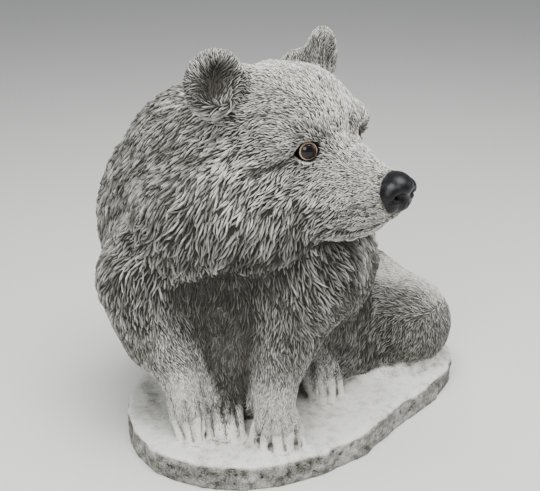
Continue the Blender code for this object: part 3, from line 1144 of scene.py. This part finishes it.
SEEN_COMBS = tuple(SeenComb(*comb) for comb in (
    (375, 170, -0.80, -0.45, Fur.MUZZLE), (360, 165, -0.85, -0.40, Fur.MUZZLE), (345, 160, -0.80, -0.45, Fur.MUZZLE),
    (372, 195, -0.95, 0.15, Fur.MUZZLE), (350, 185, -0.95, 0.15, Fur.MUZZLE), (330, 178, -0.95, 0.20, Fur.MUZZLE),
    (385, 222, -0.95, 0.10, Fur.MUZZLE), (365, 215, -0.97, 0.20, Fur.MUZZLE), (345, 208, -0.90, 0.40, Fur.MUZZLE),
    (330, 200, -0.85, 0.50, Fur.MUZZLE), (370, 232, -0.98, 0.15, Fur.MUZZLE), (350, 228, -0.95, 0.30, Fur.MUZZLE),
    (335, 140, -0.70, -0.70, Fur.FOREHEAD), (345, 125, -0.45, -0.90, Fur.FOREHEAD),
    (355, 115, -0.30, -0.95, Fur.FOREHEAD), (330, 115, -0.50, -0.87, Fur.FOREHEAD),
    (310, 130, -0.85, -0.45, Fur.FOREHEAD), (315, 105, -0.60, -0.80, Fur.FOREHEAD),
    (335, 90, -0.45, -0.90, Fur.FOREHEAD), (300, 90, -0.75, -0.65, Fur.FOREHEAD), (295, 115, -0.90, -0.35, Fur.FOREHEAD),
    (275, 80, -0.90, -0.40, Fur.FOREHEAD), (255, 75, -0.95, -0.10, Fur.FOREHEAD), (305, 75, -0.70, -0.70, Fur.FOREHEAD),
    (280, 130, -0.97, 0.05, Fur.FOREHEAD), (265, 105, -0.98, -0.10, Fur.FOREHEAD), (255, 92, -0.98, 0.00, Fur.FOREHEAD),
    (320, 185, -0.85, 0.50, Fur.MUZZLE), (300, 178, -0.85, 0.52, Fur.FOREHEAD), (283, 170, -0.85, 0.52, Fur.FOREHEAD),
    (270, 155, -0.92, 0.38, Fur.FOREHEAD), (250, 135, -0.95, 0.30, Fur.FOREHEAD),
    (315, 215, -0.72, 0.70, Fur.CHEEK), (300, 205, -0.72, 0.70, Fur.CHEEK), (280, 190, -0.75, 0.66, Fur.CHEEK),
    (260, 180, -0.78, 0.62, Fur.CHEEK), (245, 160, -0.85, 0.52, Fur.CHEEK), (230, 135, -0.90, 0.44, Fur.CHEEK),
    (225, 115, -0.90, 0.40, Fur.CHEEK), (240, 115, -0.95, 0.25, Fur.FOREHEAD), (235, 195, -0.60, 0.80, Fur.CHEEK),
    (255, 205, -0.60, 0.80, Fur.CHEEK), (275, 215, -0.50, 0.86, Fur.CHEEK), (295, 228, -0.50, 0.86, Fur.CHEEK),
    (215, 175, -0.75, 0.66, Fur.CHEEK), (205, 150, -0.80, 0.60, Fur.CHEEK), (205, 125, -0.80, 0.60, Fur.CHEEK),
    (330, 232, -0.80, 0.60, Fur.CHEEK), (315, 240, -0.60, 0.80, Fur.CHEEK),
    (195, 200, -0.55, 0.83, Fur.RUFF), (215, 215, -0.45, 0.90, Fur.RUFF), (240, 225, -0.38, 0.93, Fur.RUFF),
    (265, 238, -0.30, 0.95, Fur.RUFF), (290, 245, -0.30, 0.95, Fur.RUFF), (175, 225, -0.40, 0.90, Fur.RUFF),
    (200, 240, -0.30, 0.95, Fur.RUFF), (225, 250, -0.20, 0.98, Fur.RUFF), (160, 250, -0.35, 0.93, Fur.RUFF),
    (185, 262, -0.15, 0.98, Fur.RUFF), (215, 268, -0.05, 1.00, Fur.RUFF), (245, 262, -0.10, 1.00, Fur.RUFF),
    (190, 175, -0.72, 0.70, Fur.NECK), (185, 145, -0.78, 0.62, Fur.NECK), (185, 115, -0.80, 0.60, Fur.NECK),
    (165, 130, -0.72, 0.70, Fur.NECK), (165, 160, -0.60, 0.80, Fur.NECK), (160, 195, -0.50, 0.86, Fur.NECK),
    (175, 95, -0.85, 0.50, Fur.NECK), (150, 110, -0.75, 0.66, Fur.NECK),
    (140, 135, -0.55, 0.83, Fur.NECK), (130, 165, -0.40, 0.91, Fur.NECK), (118, 195, -0.25, 0.97, Fur.NECK),
    (140, 215, -0.40, 0.91, Fur.NECK), (110, 225, -0.25, 0.97, Fur.SHOULDER), (130, 245, -0.50, 0.86, Fur.SHOULDER),
    (108, 265, -0.60, 0.80, Fur.SHOULDER), (130, 275, -0.50, 0.86, Fur.SHOULDER), (150, 275, -0.25, 0.97, Fur.SHOULDER),
    (120, 300, -0.30, 0.95, Fur.SHOULDER), (145, 300, -0.05, 1.00, Fur.SHOULDER),
    (135, 325, 0.15, 0.98, Fur.UPPER_LEG), (160, 315, 0.20, 0.98, Fur.UPPER_LEG), (150, 340, 0.30, 0.95, Fur.UPPER_LEG),
    (172, 335, 0.35, 0.93, Fur.LEG), (165, 365, 0.30, 0.95, Fur.LEG), (185, 360, 0.35, 0.93, Fur.LEG),
    (180, 388, 0.25, 0.97, Fur.HAND), (195, 385, 0.30, 0.95, Fur.HAND), (172, 405, 0.25, 0.97, Fur.HAND),
    (192, 405, 0.20, 0.97, Fur.HAND), (205, 392, 0.25, 0.97, Fur.HAND),
    (190, 292, 0.10, 1.00, Fur.UNDER), (220, 300, 0.05, 1.00, Fur.UNDER), (250, 298, 0.00, 1.00, Fur.UNDER),
    (280, 275, 0.00, 1.00, Fur.UNDER), (205, 320, 0.25, 0.97, Fur.UNDER), (235, 325, 0.00, 1.00, Fur.UNDER),
    (215, 350, 0.15, 0.98, Fur.CHEST), (240, 350, -0.05, 1.00, Fur.CHEST), (225, 380, 0.00, 1.00, Fur.CHEST),
    (240, 395, 0.00, 1.00, Fur.CHEST),
    (305, 262, 0.45, 0.90, Fur.SHOULDER), (330, 262, 0.65, 0.76, Fur.SHOULDER), (355, 262, 0.60, 0.80, Fur.SHOULDER),
    (372, 265, 0.40, 0.92, Fur.SHOULDER), (300, 290, 0.40, 0.92, Fur.SHOULDER), (325, 290, 0.70, 0.71, Fur.SHOULDER),
    (350, 290, 0.60, 0.80, Fur.FLANK), (275, 310, 0.00, 1.00, Fur.UPPER_LEG), (300, 320, 0.35, 0.94, Fur.UPPER_LEG),
    (325, 320, 0.50, 0.87, Fur.UPPER_LEG), (280, 345, -0.05, 1.00, Fur.UPPER_LEG), (305, 350, 0.10, 1.00, Fur.UPPER_LEG),
    (275, 372, -0.05, 1.00, Fur.LEG), (292, 376, 0.05, 1.00, Fur.LEG), (280, 396, 0.00, 1.00, Fur.HAND),
    (264, 408, -0.15, 1.00, Fur.HAND), (280, 412, 0.00, 1.00, Fur.HAND), (296, 408, 0.10, 1.00, Fur.HAND),
    (368, 290, 0.10, 1.00, Fur.FLANK), (355, 320, -0.15, 0.98, Fur.FLANK), (365, 340, -0.20, 0.97, Fur.FLANK),
    (345, 350, -0.40, 0.90, Fur.HAUNCH), (350, 365, -0.60, 0.75, Fur.HAUNCH), (325, 368, -0.30, 0.95, Fur.HAND),
    (410, 305, -0.97, -0.15, Fur.HAUNCH), (395, 300, -0.98, -0.05, Fur.HAUNCH), (395, 318, -0.95, 0.25, Fur.HAUNCH),
    (410, 325, -0.70, 0.70, Fur.HAUNCH), (390, 335, -0.65, 0.75, Fur.HAUNCH), (412, 340, -0.40, 0.92, Fur.HAUNCH),
    (428, 335, 0.05, 1.00, Fur.HAUNCH), (440, 328, 0.50, 0.87, Fur.HAUNCH), (385, 345, -0.50, 0.86, Fur.HAUNCH),
    (425, 295, -0.80, -0.55, Fur.HAUNCH), (395, 275, -0.95, 0.10, Fur.HAUNCH_TOP), (415, 280, -0.95, -0.15, Fur.HAUNCH_TOP),
    (435, 295, -0.60, -0.75, Fur.HAUNCH_TOP), (405, 290, -0.98, 0.00, Fur.HAUNCH), (443, 312, 0.30, 0.95, Fur.HAUNCH),
    (190, 70, -0.75, -0.60, Fur.EAR_RIM), (207, 53, -0.15, -1.00, Fur.EAR_RIM), (225, 58, 0.50, -0.85, Fur.EAR_RIM),
    (238, 75, 0.85, -0.40, Fur.EAR_RIM), (192, 90, -0.85, 0.30, Fur.EAR_RIM), (243, 92, 0.70, 0.40, Fur.EAR_RIM),
    (205, 72, -0.50, -0.85, Fur.EAR_INSIDE), (215, 66, 0.00, -1.00, Fur.EAR_INSIDE),
    (226, 73, 0.60, -0.80, Fur.EAR_INSIDE), (214, 84, -0.10, -1.00, Fur.EAR_INSIDE),
    (203, 90, -0.70, -0.50, Fur.EAR_INSIDE), (225, 90, 0.60, -0.50, Fur.EAR_INSIDE),
    (305, 55, 0.45, -0.90, Fur.EAR_RIM), (318, 42, 0.30, -0.95, Fur.EAR_RIM), (322, 62, 0.10, -1.00, Fur.EAR_RIM),
))

HIDDEN_COMBS = tuple(HiddenComb(*comb) for comb in (
    ((-52, 40, 236), (-0.1, 1.0, -0.2), Fur.BACK), ((-90, 70, 200), (-0.4, 0.6, -0.7), Fur.BACK),
    ((-10, 70, 200), (0.4, 0.6, -0.7), Fur.BACK), ((-70, 100, 150), (-0.2, 0.1, -1.0), Fur.BACK),
    ((-130, 60, 150), (-0.3, 0.3, -0.9), Fur.BACK), ((0, 80, 150), (0.4, 0.1, -0.9), Fur.BACK),
    ((-60, 100, 100), (0.0, -0.2, -1.0), Fur.BACK), ((-110, 70, 90), (0.1, -0.3, -1.0), Fur.BACK),
    ((10, 75, 100), (0.6, 0.1, -0.8), Fur.BACK), ((-40, 85, 60), (0.2, 0.0, -1.0), Fur.BACK),
    ((40, 40, 120), (0.8, 0.2, -0.6), Fur.BACK), ((70, 60, 85), (0.8, 0.3, -0.5), Fur.BACK),
    ((30, 20, 150), (0.6, 0.2, -0.8), Fur.FLANK), ((60, -5, 95), (0.5, -0.2, -0.9), Fur.FLANK),
    ((110, 30, 70), (0.8, 0.4, -0.5), Fur.HAUNCH_TOP), ((135, 15, 45), (0.3, 0.2, -1.0), Fur.HAUNCH),
    ((-95, 20, 60), (0.3, -0.3, -0.9), Fur.FLANK), ((-60, 60, 50), (-0.4, 0.2, -0.9), Fur.HAUNCH),
    ((-20, 80, 50), (-0.3, 0.2, -0.9), Fur.HAUNCH), ((20, -25, 60), (0.1, -0.2, -1.0), Fur.FLANK),
    ((100, 50, 30), (-0.6, 0.8, 0.0), Fur.TAIL), ((60, 80, 25), (-0.95, 0.3, 0.0), Fur.TAIL),
    ((10, 88, 22), (-1.0, 0.0, 0.0), Fur.TAIL), ((-40, 85, 20), (-1.0, -0.1, 0.0), Fur.TAIL),
    ((-80, 62, 12), (-0.9, -0.4, 0.0), Fur.TAIL), ((-85, 45, 30), (-0.4, 0.1, -0.9), Fur.HAUNCH),
    ((20, 20, 190), (0.5, 0.5, -0.7), Fur.NECK), ((30, 0, 175), (0.6, 0.2, -0.8), Fur.RUFF),
    ((40, -25, 175), (0.5, -0.1, -0.9), Fur.CHEEK), ((45, -35, 195), (0.3, 0.3, -0.6), Fur.CHEEK),
    ((30, -25, 220), (0.0, 1.0, 0.2), Fur.FOREHEAD), ((10, 5, 235), (-0.2, 1.0, 0.0), Fur.FOREHEAD),
    ((-15, 20, 245), (-0.2, 1.0, -0.1), Fur.FOREHEAD), ((-20, 45, 230), (0.0, 1.0, -0.3), Fur.NECK),
    ((15, 15, 275), (-0.2, 0.3, 1.0), Fur.EAR_RIM), ((20, 10, 250), (-0.3, 0.6, 0.6), Fur.EAR_RIM),
    ((-75, 10, 262), (-0.2, 0.3, 1.0), Fur.EAR_RIM), ((-60, 15, 250), (0.0, 0.7, 0.4), Fur.EAR_RIM),
    ((25, -40, 150), (0.4, -0.3, -0.9), Fur.SHOULDER), ((20, -30, 120), (0.3, -0.2, -0.9), Fur.SHOULDER),
    ((0, -35, 90), (0.1, -0.1, -1.0), Fur.UPPER_LEG), ((-20, -45, 60), (-0.1, -0.1, -1.0), Fur.LEG),
    ((-130, 20, 90), (0.0, -0.4, -0.9), Fur.SHOULDER), ((-125, -5, 65), (0.2, -0.4, -0.9), Fur.UPPER_LEG),
    ((-112, -20, 45), (0.1, -0.4, -0.9), Fur.LEG),
))

# One lock, modelled along its length: share of length, of width and of lift, and how raised it is, its tone: pale
# on the dry-brushed ridge, dark at the washed sides and partly painted shade between the locks.
LOCK_SHAPE = np.array([
    (-0.48, 0.00, -0.40, 0.10),
    (-0.12, 0.50, -0.32, 0.02), (-0.12, 0.00, 0.50, 0.66), (-0.12, -0.50, -0.32, 0.02),
    (0.24, 0.44, -0.10, 0.08), (0.24, 0.00, 1.00, 1.00), (0.24, -0.44, -0.10, 0.08),
    (0.56, 0.00, 0.62, 0.94),
])
LOCK_FACES = np.array([
    (0, 2, 1), (0, 3, 2), (0, 1, 3),
    (1, 2, 5), (1, 5, 4), (2, 3, 6), (2, 6, 5), (3, 1, 4), (3, 4, 6),
    (5, 7, 4), (6, 7, 5), (4, 7, 6),
])


@dataclass
class Groom:
    """The lie of the fur: it knows which way and how the fur runs at any place of the skin."""

    tree: BVHTree
    places: np.ndarray = field(default_factory=lambda: np.zeros((0, 3)))
    normals: np.ndarray = field(default_factory=lambda: np.zeros((0, 3)))
    ways: np.ndarray = field(default_factory=lambda: np.zeros((0, 3)))
    kinds: list[Fur] = field(default_factory=list)

    def __post_init__(self) -> None:
        """Sets every comb on the skin."""
        places, normals, ways = [], [], []
        for x, y, right, down, kind in SEEN_COMBS:
            found = VIEW.hit(x, y, self.tree)
            if found:
                place, normal = found
                places.append(place)
                normals.append(normal)
                ways.append(VIEW.along_surface(x, y, (right, down), normal))
                self.kinds.append(kind)
        for at, way, kind in HIDDEN_COMBS:
            place, normal, _, _ = self.tree.find_nearest(slab_point(*at))
            way = Vector(way)
            places.append(place)
            normals.append(normal)
            ways.append((way - normal * way.dot(normal)).normalized())
            self.kinds.append(kind)
        self.places, self.normals, self.ways = (np.array(rows) for rows in (places, normals, ways))

    def styles(self) -> np.ndarray:
        """The combs' styles, one row each: length, width, lift, groove, ridge, reach."""
        return np.array([(kind.value.length, kind.value.width, kind.value.lift, kind.value.groove, kind.value.ridge,
                          kind.value.reach) for kind in self.kinds])

    def at(self, places: np.ndarray, normals: np.ndarray) -> tuple[np.ndarray, np.ndarray, np.ndarray]:
        """Reads the fur at many places.

        Args:
            places: one place a row, in metres.
            normals: the skin's normal at each.

        Returns:
            The way the fur runs, its style as in styles, and the number of the comb that counts most.
        """
        styles = self.styles()
        reach = styles[:, 5] * MM
        ways, mixed, first = np.zeros_like(places), np.zeros((len(places), 6)), np.zeros(len(places), dtype=int)
        for start in range(0, len(places), 20000):
            part = slice(start, start + 20000)
            apart = np.linalg.norm(places[part, None, :] - self.places[None], axis=2)
            facing = np.clip(normals[part] @ self.normals.T, 0, 1) ** 2 + 0.02
            weight = facing * (np.exp(-((apart / reach) ** 2)) + 1e-4 * (0.02 / (apart + 0.002)) ** 4)
            weight /= weight.sum(axis=1, keepdims=True)
            ways[part], mixed[part] = weight @ self.ways, weight @ styles
            first[part] = weight.argmax(axis=1)
        ways -= normals * (ways * normals).sum(axis=1, keepdims=True)
        ways /= np.maximum(np.linalg.norm(ways, axis=1, keepdims=True), 1e-9)
        return ways, mixed, first


@dataclass
class PaintedShadeAndWash:
    """Painted shade and painted highlights along lines, partly where the stone is washed darker, and the tail's dark
    rings.
    """

    tree: BVHTree
    lines: list[tuple[list[Vector], float, float]] = field(default_factory=list)

    def __post_init__(self) -> None:
        """Lays each line on the skin under its pixels."""
        for pixels, width, strength in SEEN_SHADE_AND_WASH:
            line = [hit[0] for hit in (VIEW.hit(x, y, self.tree) for x, y in pixels) if hit]
            if len(line) > 1:
                self.lines.append((line, width, strength))
        middles = [Vector(middle) for middle, _ in TAIL_RINGS]
        for number, (middle, radius) in enumerate(TAIL_RINGS):
            ahead = middles[min(number + 1, len(middles) - 1)] - middles[max(number - 1, 0)]
            aside = ahead.cross(Vector((0, 0, 1))).normalized() * radius
            above = Vector((0, 0, radius))
            turns = [math.radians(angle) for angle in range(-20, 201, 20)]
            ring = [slab_point(*(Vector(middle) + aside * math.cos(turn) + above * math.sin(turn))) for turn in turns]
            self.lines.append((ring, 4.5, 0.55))

    def at(self, places: np.ndarray) -> np.ndarray:
        """How much darker each place is painted: shade, darker washing and the tail's rings.

        Args:
            places: one place a row, in metres.

        Returns:
            One number a place, below 0 where a painted highlight makes it paler.
        """
        total = np.zeros(len(places))
        for line, width, strength in self.lines:
            total += strength * np.exp(-((near_line(places, line) / width) ** 2))
        return total


@dataclass
class FurLocks:
    """The carved locks all over the figure, gathered in a few closed meshes."""

    palette: Palette
    casting: Casting
    groom: Groom
    wash_and_shade: PaintedShadeAndWash
    crowding: float = 7.0
    room_along: float = 0.34
    room_across: float = 0.64
    most_in_piece: int = 16300
    seed: int = 7

    def scatter(self) -> tuple[np.ndarray, np.ndarray]:
        """Chooses many places on the furred skin, more where the locks are small.

        Returns:
            The places and the skin's smooth normals there.
        """
        mesh = self.casting.skin.data
        mesh.calc_loop_triangles()
        corners = np.empty(len(mesh.loop_triangles) * 3, dtype=np.int32)
        mesh.loop_triangles.foreach_get("vertices", corners)
        corners = corners.reshape(-1, 3)
        points, normals = vertex_places(mesh), vertex_normals(mesh)
        a, b, c = (points[corners[:, i]] for i in range(3))
        middle = (a + b + c) / 3
        area = np.linalg.norm(np.cross(b - a, c - a), axis=1) / 2 / MM ** 2
        flat = normals[corners[:, 0]]
        _, style, _ = self.groom.at(middle, flat)
        wanted = self.crowding * area / (0.5 * style[:, 0] * style[:, 1])
        wanted *= (self.casting.bareness(middle) < 0.97) & (middle[:, 2] > SLAB_TOP + 1.5 * MM)
        rng = np.random.default_rng(self.seed)
        count = rng.poisson(wanted)
        chosen = np.repeat(np.arange(len(corners)), count)
        u, v = rng.random(len(chosen)), rng.random(len(chosen))
        fold = u + v > 1
        u[fold], v[fold] = 1 - u[fold], 1 - v[fold]
        w = 1 - u - v
        share = np.stack([w, u, v], axis=1)
        places = (points[corners[chosen]] * share[:, :, None]).sum(axis=1)
        smooth = (normals[corners[chosen]] * share[:, :, None]).sum(axis=1)
        smooth /= np.linalg.norm(smooth, axis=1, keepdims=True)
        return places, smooth

    def spread(self, places: np.ndarray, ways: np.ndarray, normals: np.ndarray, style: np.ndarray) -> np.ndarray:
        """Drops the places that stand too close to another lock.

        Args:
            places: one place a row.
            ways: the way the fur runs at each.
            normals: the skin's normal at each.
            style: the lock's style at each.

        Returns:
            The numbers of the places that are kept.
        """
        tree = KDTree(len(places))
        rows = [Vector(row) for row in places.tolist()]
        for number, row in enumerate(rows):
            tree.insert(row, number)
        tree.balance()
        across = np.cross(normals, ways)
        along_room = style[:, 0] * self.room_along * MM
        across_room = style[:, 1] * self.room_across * MM
        gone = np.zeros(len(places), dtype=bool)
        kept = []
        for number, row in enumerate(rows):
            if gone[number]:
                continue
            kept.append(number)
            near = [other for _, other, _ in tree.find_range(row, float(along_room[number])) if other > number]
            if near:
                offset = places[near] - places[number]
                forward = offset @ ways[number] / along_room[number]
                aside = offset @ across[number] / across_room[number]
                for other, close in zip(near, (forward ** 2 + aside ** 2) < 1):
                    if close:
                        gone[other] = True
        return np.array(kept)

    def build(self) -> list[bpy.types.Object]:
        """Plants the locks and gathers them in pieces.

        Returns:
            The pieces.
        """
        places, normals = self.scatter()
        rng = np.random.default_rng(self.seed + 1)
        order = rng.permutation(len(places))
        places, normals = places[order], normals[order]
        ways, style, first = self.groom.at(places, normals)
        LOG.info("%d places for locks", len(places))
        kept = self.spread(places, ways, normals, style)
        places, normals, ways, style, first = (rows[kept] for rows in (places, normals, ways, style, first))
        LOG.info("%d locks stay", len(places))
        coats = np.array([list(Coat).index(COAT_OF[self.groom.kinds[number]]) for number in first])
        made = []
        for number, coat in enumerate(Coat):
            rows = np.nonzero(coats == number)[0]
            LOG.info("%s wants %d locks", coat.value, len(rows))
            rows = rows[: self.most_in_piece]
            made.append(self.gather(coat.value, places[rows], normals[rows], ways[rows], style[rows], number))
        return made

    def gather(self, name: str, places: np.ndarray, normals: np.ndarray, ways: np.ndarray, style: np.ndarray,
               number: int) -> bpy.types.Object:
        """Makes one piece of many locks.

        Args:
            name: the piece's name.
            places: where each lock grows.
            normals: the skin's normal there.
            ways: the way each lock lies.
            style: each lock's style.
            number: the piece's number, which sets its chances.

        Returns:
            The piece.
        """
        rng = np.random.default_rng(100 + number)
        count = len(places)
        turn, clump = np.radians(rng.normal(0, 10, count)), np.zeros(count)
        for row in range(count):
            place = Vector(places[row])
            turn[row] += 0.60 * noise.noise(place * 70)
            clump[row] = noise.noise(place * 110) + 0.5 * noise.noise(place * 260)
        long_fur = 0.15 + 0.85 * smooth_step(0.7, 1.6, style[:, 2])
        clump = np.clip(clump * 1.6, -1, 1) * long_fur
        across = np.cross(normals, ways)
        along = ways * np.cos(turn)[:, None] + across * np.sin(turn)[:, None]
        across = np.cross(normals, along)
        bare = self.casting.bareness(places)
        shrink = 1 - 0.6 * bare
        length = style[:, 0] * rng.uniform(0.70, 1.40, count) * shrink * MM
        width = style[:, 1] * rng.uniform(0.72, 1.38, count) * shrink * MM
        lift = style[:, 2] * rng.uniform(0.60, 1.40, count) * (1 - 0.85 * bare) * (1 + 0.30 * clump) * MM
        bend = rng.normal(0, 0.16, count) * length
        places = places + normals * (0.35 * clump * style[:, 2] * (1 - bare) * MM)[:, None]
        shape = LOCK_SHAPE
        side = shape[None, :, 1] * width[:, None] + bend[:, None] * (shape[None, :, 0] ** 2) * 2.4
        points = (places[:, None, :]
                  + along[:, None, :] * (shape[None, :, 0] * length[:, None])[:, :, None]
                  + across[:, None, :] * side[:, :, None]
                  + normals[:, None, :] * ((shape[None, :, 2] - 0.12) * lift[:, None])[:, :, None])
        # The ridge tone rises and falls with the clumps: painted shade between the clumps, painted light on them.
        groove, ridge = style[:, 3], style[:, 4] * rng.uniform(0.48, 1.24, count) * (1 + 0.34 * clump)
        raised = groove[:, None] + (ridge - groove)[:, None] * shape[None, :, 3]
        # Painted shade and painted highlights along lines, with the darker washing, darken or pale each lock.
        raised = raised * (1 - np.clip(self.wash_and_shade.at(places), -0.4, 0.9)[:, None])
        faces = (LOCK_FACES[None] + (np.arange(count) * len(shape))[:, None, None]).reshape(-1, 3)
        mesh = bpy.data.meshes.new(name)
        mesh.vertices.add(count * len(shape))
        mesh.vertices.foreach_set("co", points.ravel())
        mesh.loops.add(len(faces) * 3)
        mesh.loops.foreach_set("vertex_index", faces.ravel().astype(np.int32))
        mesh.polygons.add(len(faces))
        mesh.polygons.foreach_set("loop_start", (np.arange(len(faces)) * 3).astype(np.int32))
        mesh.update(calc_edges=True)
        write_values(mesh, "raised", raised.ravel())
        mesh.shade_smooth()
        piece = bpy.data.objects.new(name, mesh)
        bpy.context.scene.collection.objects.link(piece)
        return piece


# The eyes


@dataclass
class Eye:
    """One glossy eye: a ball with its rings, set in the casting."""

    palette: Palette
    casting: Casting
    side: int
    node: str
    name: str

    def build(self) -> bpy.types.Object:
        """Models the ball and marks how far each place is from the middle of its front.

        Returns:
            The eye.
        """
        low, high = (Vector(corner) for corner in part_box(self.node))
        radius = (high - low).z / 2
        middle = (low + high) / 2
        deselect()
        bpy.ops.mesh.primitive_uv_sphere_add(segments=64, ring_count=40, radius=radius)
        ball_piece = bpy.context.object
        ball_piece.name = self.name
        axis = self.casting.eye_axis(self.side)
        ball_piece.matrix_world = Matrix.Translation(middle) @ axis.to_track_quat("Z", "Y").to_matrix().to_4x4()
        settle(ball_piece)
        mesh = ball_piece.data
        offset = vertex_places(mesh) - np.array(middle)
        out = offset @ np.array(axis) / radius
        reach = np.sqrt(np.clip(1 - out ** 2, 0, 1))
        write_values(mesh, "from_middle", np.where(out > 0, reach, 1.0))
        ball_piece.data.shade_smooth()
        return ball_piece


# The studio


@dataclass
class Studio:
    """A pale floor and soft lights."""

    floor_colour: tuple[float, float, float] = (0.74, 0.74, 0.72)

    def build(self) -> None:
        """Lays the floor and hangs the lights."""
        deselect()
        bpy.ops.mesh.primitive_plane_add(size=6, location=(0, 0, 0))
        floor = bpy.context.object
        floor.name = "floor"
        material = bpy.data.materials.new("floor_paper")
        material.use_nodes = True
        shader = material.node_tree.nodes["Principled BSDF"]
        shader.inputs["Base Color"].default_value = (*self.floor_colour, 1)
        shader.inputs["Roughness"].default_value = 0.9
        floor.data.materials.append(material)
        self.softbox("overhead_softbox", (-0.04, -0.26, 1.15), 0.85, 23.0)
        self.softbox("front_softbox", (-1.0, -1.0, 0.85), 0.8, 13.0)
        self.softbox("side_softbox", (1.15, -0.55, 0.75), 0.9, 4.0)
        world = bpy.data.worlds.new("studio_air")
        world.use_nodes = True
        world.node_tree.nodes["Background"].inputs["Color"].default_value = (0.86, 0.88, 0.90, 1)
        world.node_tree.nodes["Background"].inputs["Strength"].default_value = 0.40
        bpy.context.scene.world = world

    def softbox(self, name: str, place: tuple[float, float, float], size: float, power: float) -> None:
        """Hangs one square soft light that faces the statue.

        Args:
            name: the light's name.
            place: where it hangs, in metres.
            size: its side, in metres.
            power: its power, in watts.
        """
        bpy.ops.object.light_add(type="AREA", location=place)
        light = bpy.context.object
        light.name = name
        light.data.size = size
        light.data.energy = power
        light.rotation_euler = (Vector(place) - slab_point(-10, 0, 110)).to_track_quat("Z", "Y").to_euler()


class Statue:
    """The whole statue, dressed."""

    def __init__(self) -> None:
        """Keeps the palette that all pieces share."""
        self.palette = Palette()

    def dress_casting(self, casting: Casting, groom: Groom, wash_and_shade: PaintedShadeAndWash) -> None:
        """Marks how raised and how painted the casting is, with painted shade in its creases, darker between the locks
        and on the slab's sides, and gives it its stone.

        Args:
            casting: the finished casting.
            groom: the lie of the fur, for the tone of the grooves between the locks.
            wash_and_shade: the lines of painted shade and painted highlights, and where the stone is washed darker.
        """
        mesh = casting.skin.data
        places, normals = vertex_places(mesh), vertex_normals(mesh)
        _, style, _ = groom.at(places, normals)
        bare = smooth_step(0.35, 0.9, casting.bareness(places))
        height = (places[:, 2] - SLAB_TOP) / MM
        # The slab's sides below its top are darker: painted shade on them.
        bare_stone_and_side_shade = 0.88 - 0.50 * smooth_step(-1.0, -4.0, height)
        hollow_wash_and_shade = self.hollows_wash_and_shade(mesh, places, normals)
        raised = style[:, 3] * (1 - bare) + bare_stone_and_side_shade * bare
        # Painted shade and painted highlights along lines, with the darker washing, darken or pale the stone.
        raised = raised * (1 - np.clip(wash_and_shade.at(places), -0.2, 0.9))
        # Creases darker: the washing that gathers there and painted shade in them.
        write_values(mesh, "raised", raised - 0.50 * hollow_wash_and_shade * (0.3 + 0.7 * bare))
        write_values(mesh, "paint", casting.painted(places))
        casting.skin.data.materials.append(self.palette.stone("cast_stone", 0.5, painted=True))

    def hollows_wash_and_shade(self, mesh: bpy.types.Mesh, places: np.ndarray, normals: np.ndarray) -> np.ndarray:
        """How hollow the skin is at each vertex: its creases are washed darker and also get painted shade.

        Args:
            mesh: the skin's mesh.
            places: its vertices.
            normals: their normals.

        Returns:
            One number a vertex, from 0 on flat or raised skin to 1 in a crease.
        """
        spread = relaxed(mesh, places, 10)
        depth = ((spread - places) * normals).sum(axis=1) / MM
        return smooth_step(0.04, 0.55, depth)

    def build(self) -> None:
        """Builds every piece, dresses it and ties it to the frame."""
        casting = Casting(self.palette)
        casting.build()
        LOG.info("casting: %d faces", len(casting.skin.data.polygons))
        groom = Groom(surface_of(casting.skin))
        LOG.info("groom: %d combs", len(groom.kinds))
        wash_and_shade = PaintedShadeAndWash(groom.tree)
        self.dress_casting(casting, groom, wash_and_shade)
        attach(casting.skin, "root")
        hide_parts("raccoon")
        fur_stone = self.palette.stone("carved_fur", 0.0, painted=False)
        for piece in FurLocks(self.palette, casting, groom, wash_and_shade).build():
            piece.data.materials.append(fur_stone)
            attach(piece, "root")
            LOG.info("%s: %d faces", piece.name, len(piece.data.polygons))
        for side, node, name in ((1, "eye_left", "left_eye"), (-1, "eye_right", "right_eye")):
            eye = Eye(self.palette, casting, side, node, name).build()
            eye.data.materials.append(self.palette.eye(name + "_glass"))
            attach(eye, "root")
            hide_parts(node)
            LOG.info("%s: %d faces", eye.name, len(eye.data.polygons))


def corners(bounds: tuple) -> list[list[float]]:
    """A box's two corners as plain lists of numbers."""
    return [[float(number) for number in corner] for corner in bounds]


def main() -> None:
    """Builds the statue and its studio in order."""
    logging.basicConfig(level=logging.INFO, format="%(message)s")
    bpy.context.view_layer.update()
    deselect()
    Statue().build()
    Studio().build()
    VIEW.add_camera()


if __name__ == "__main__":
    main()
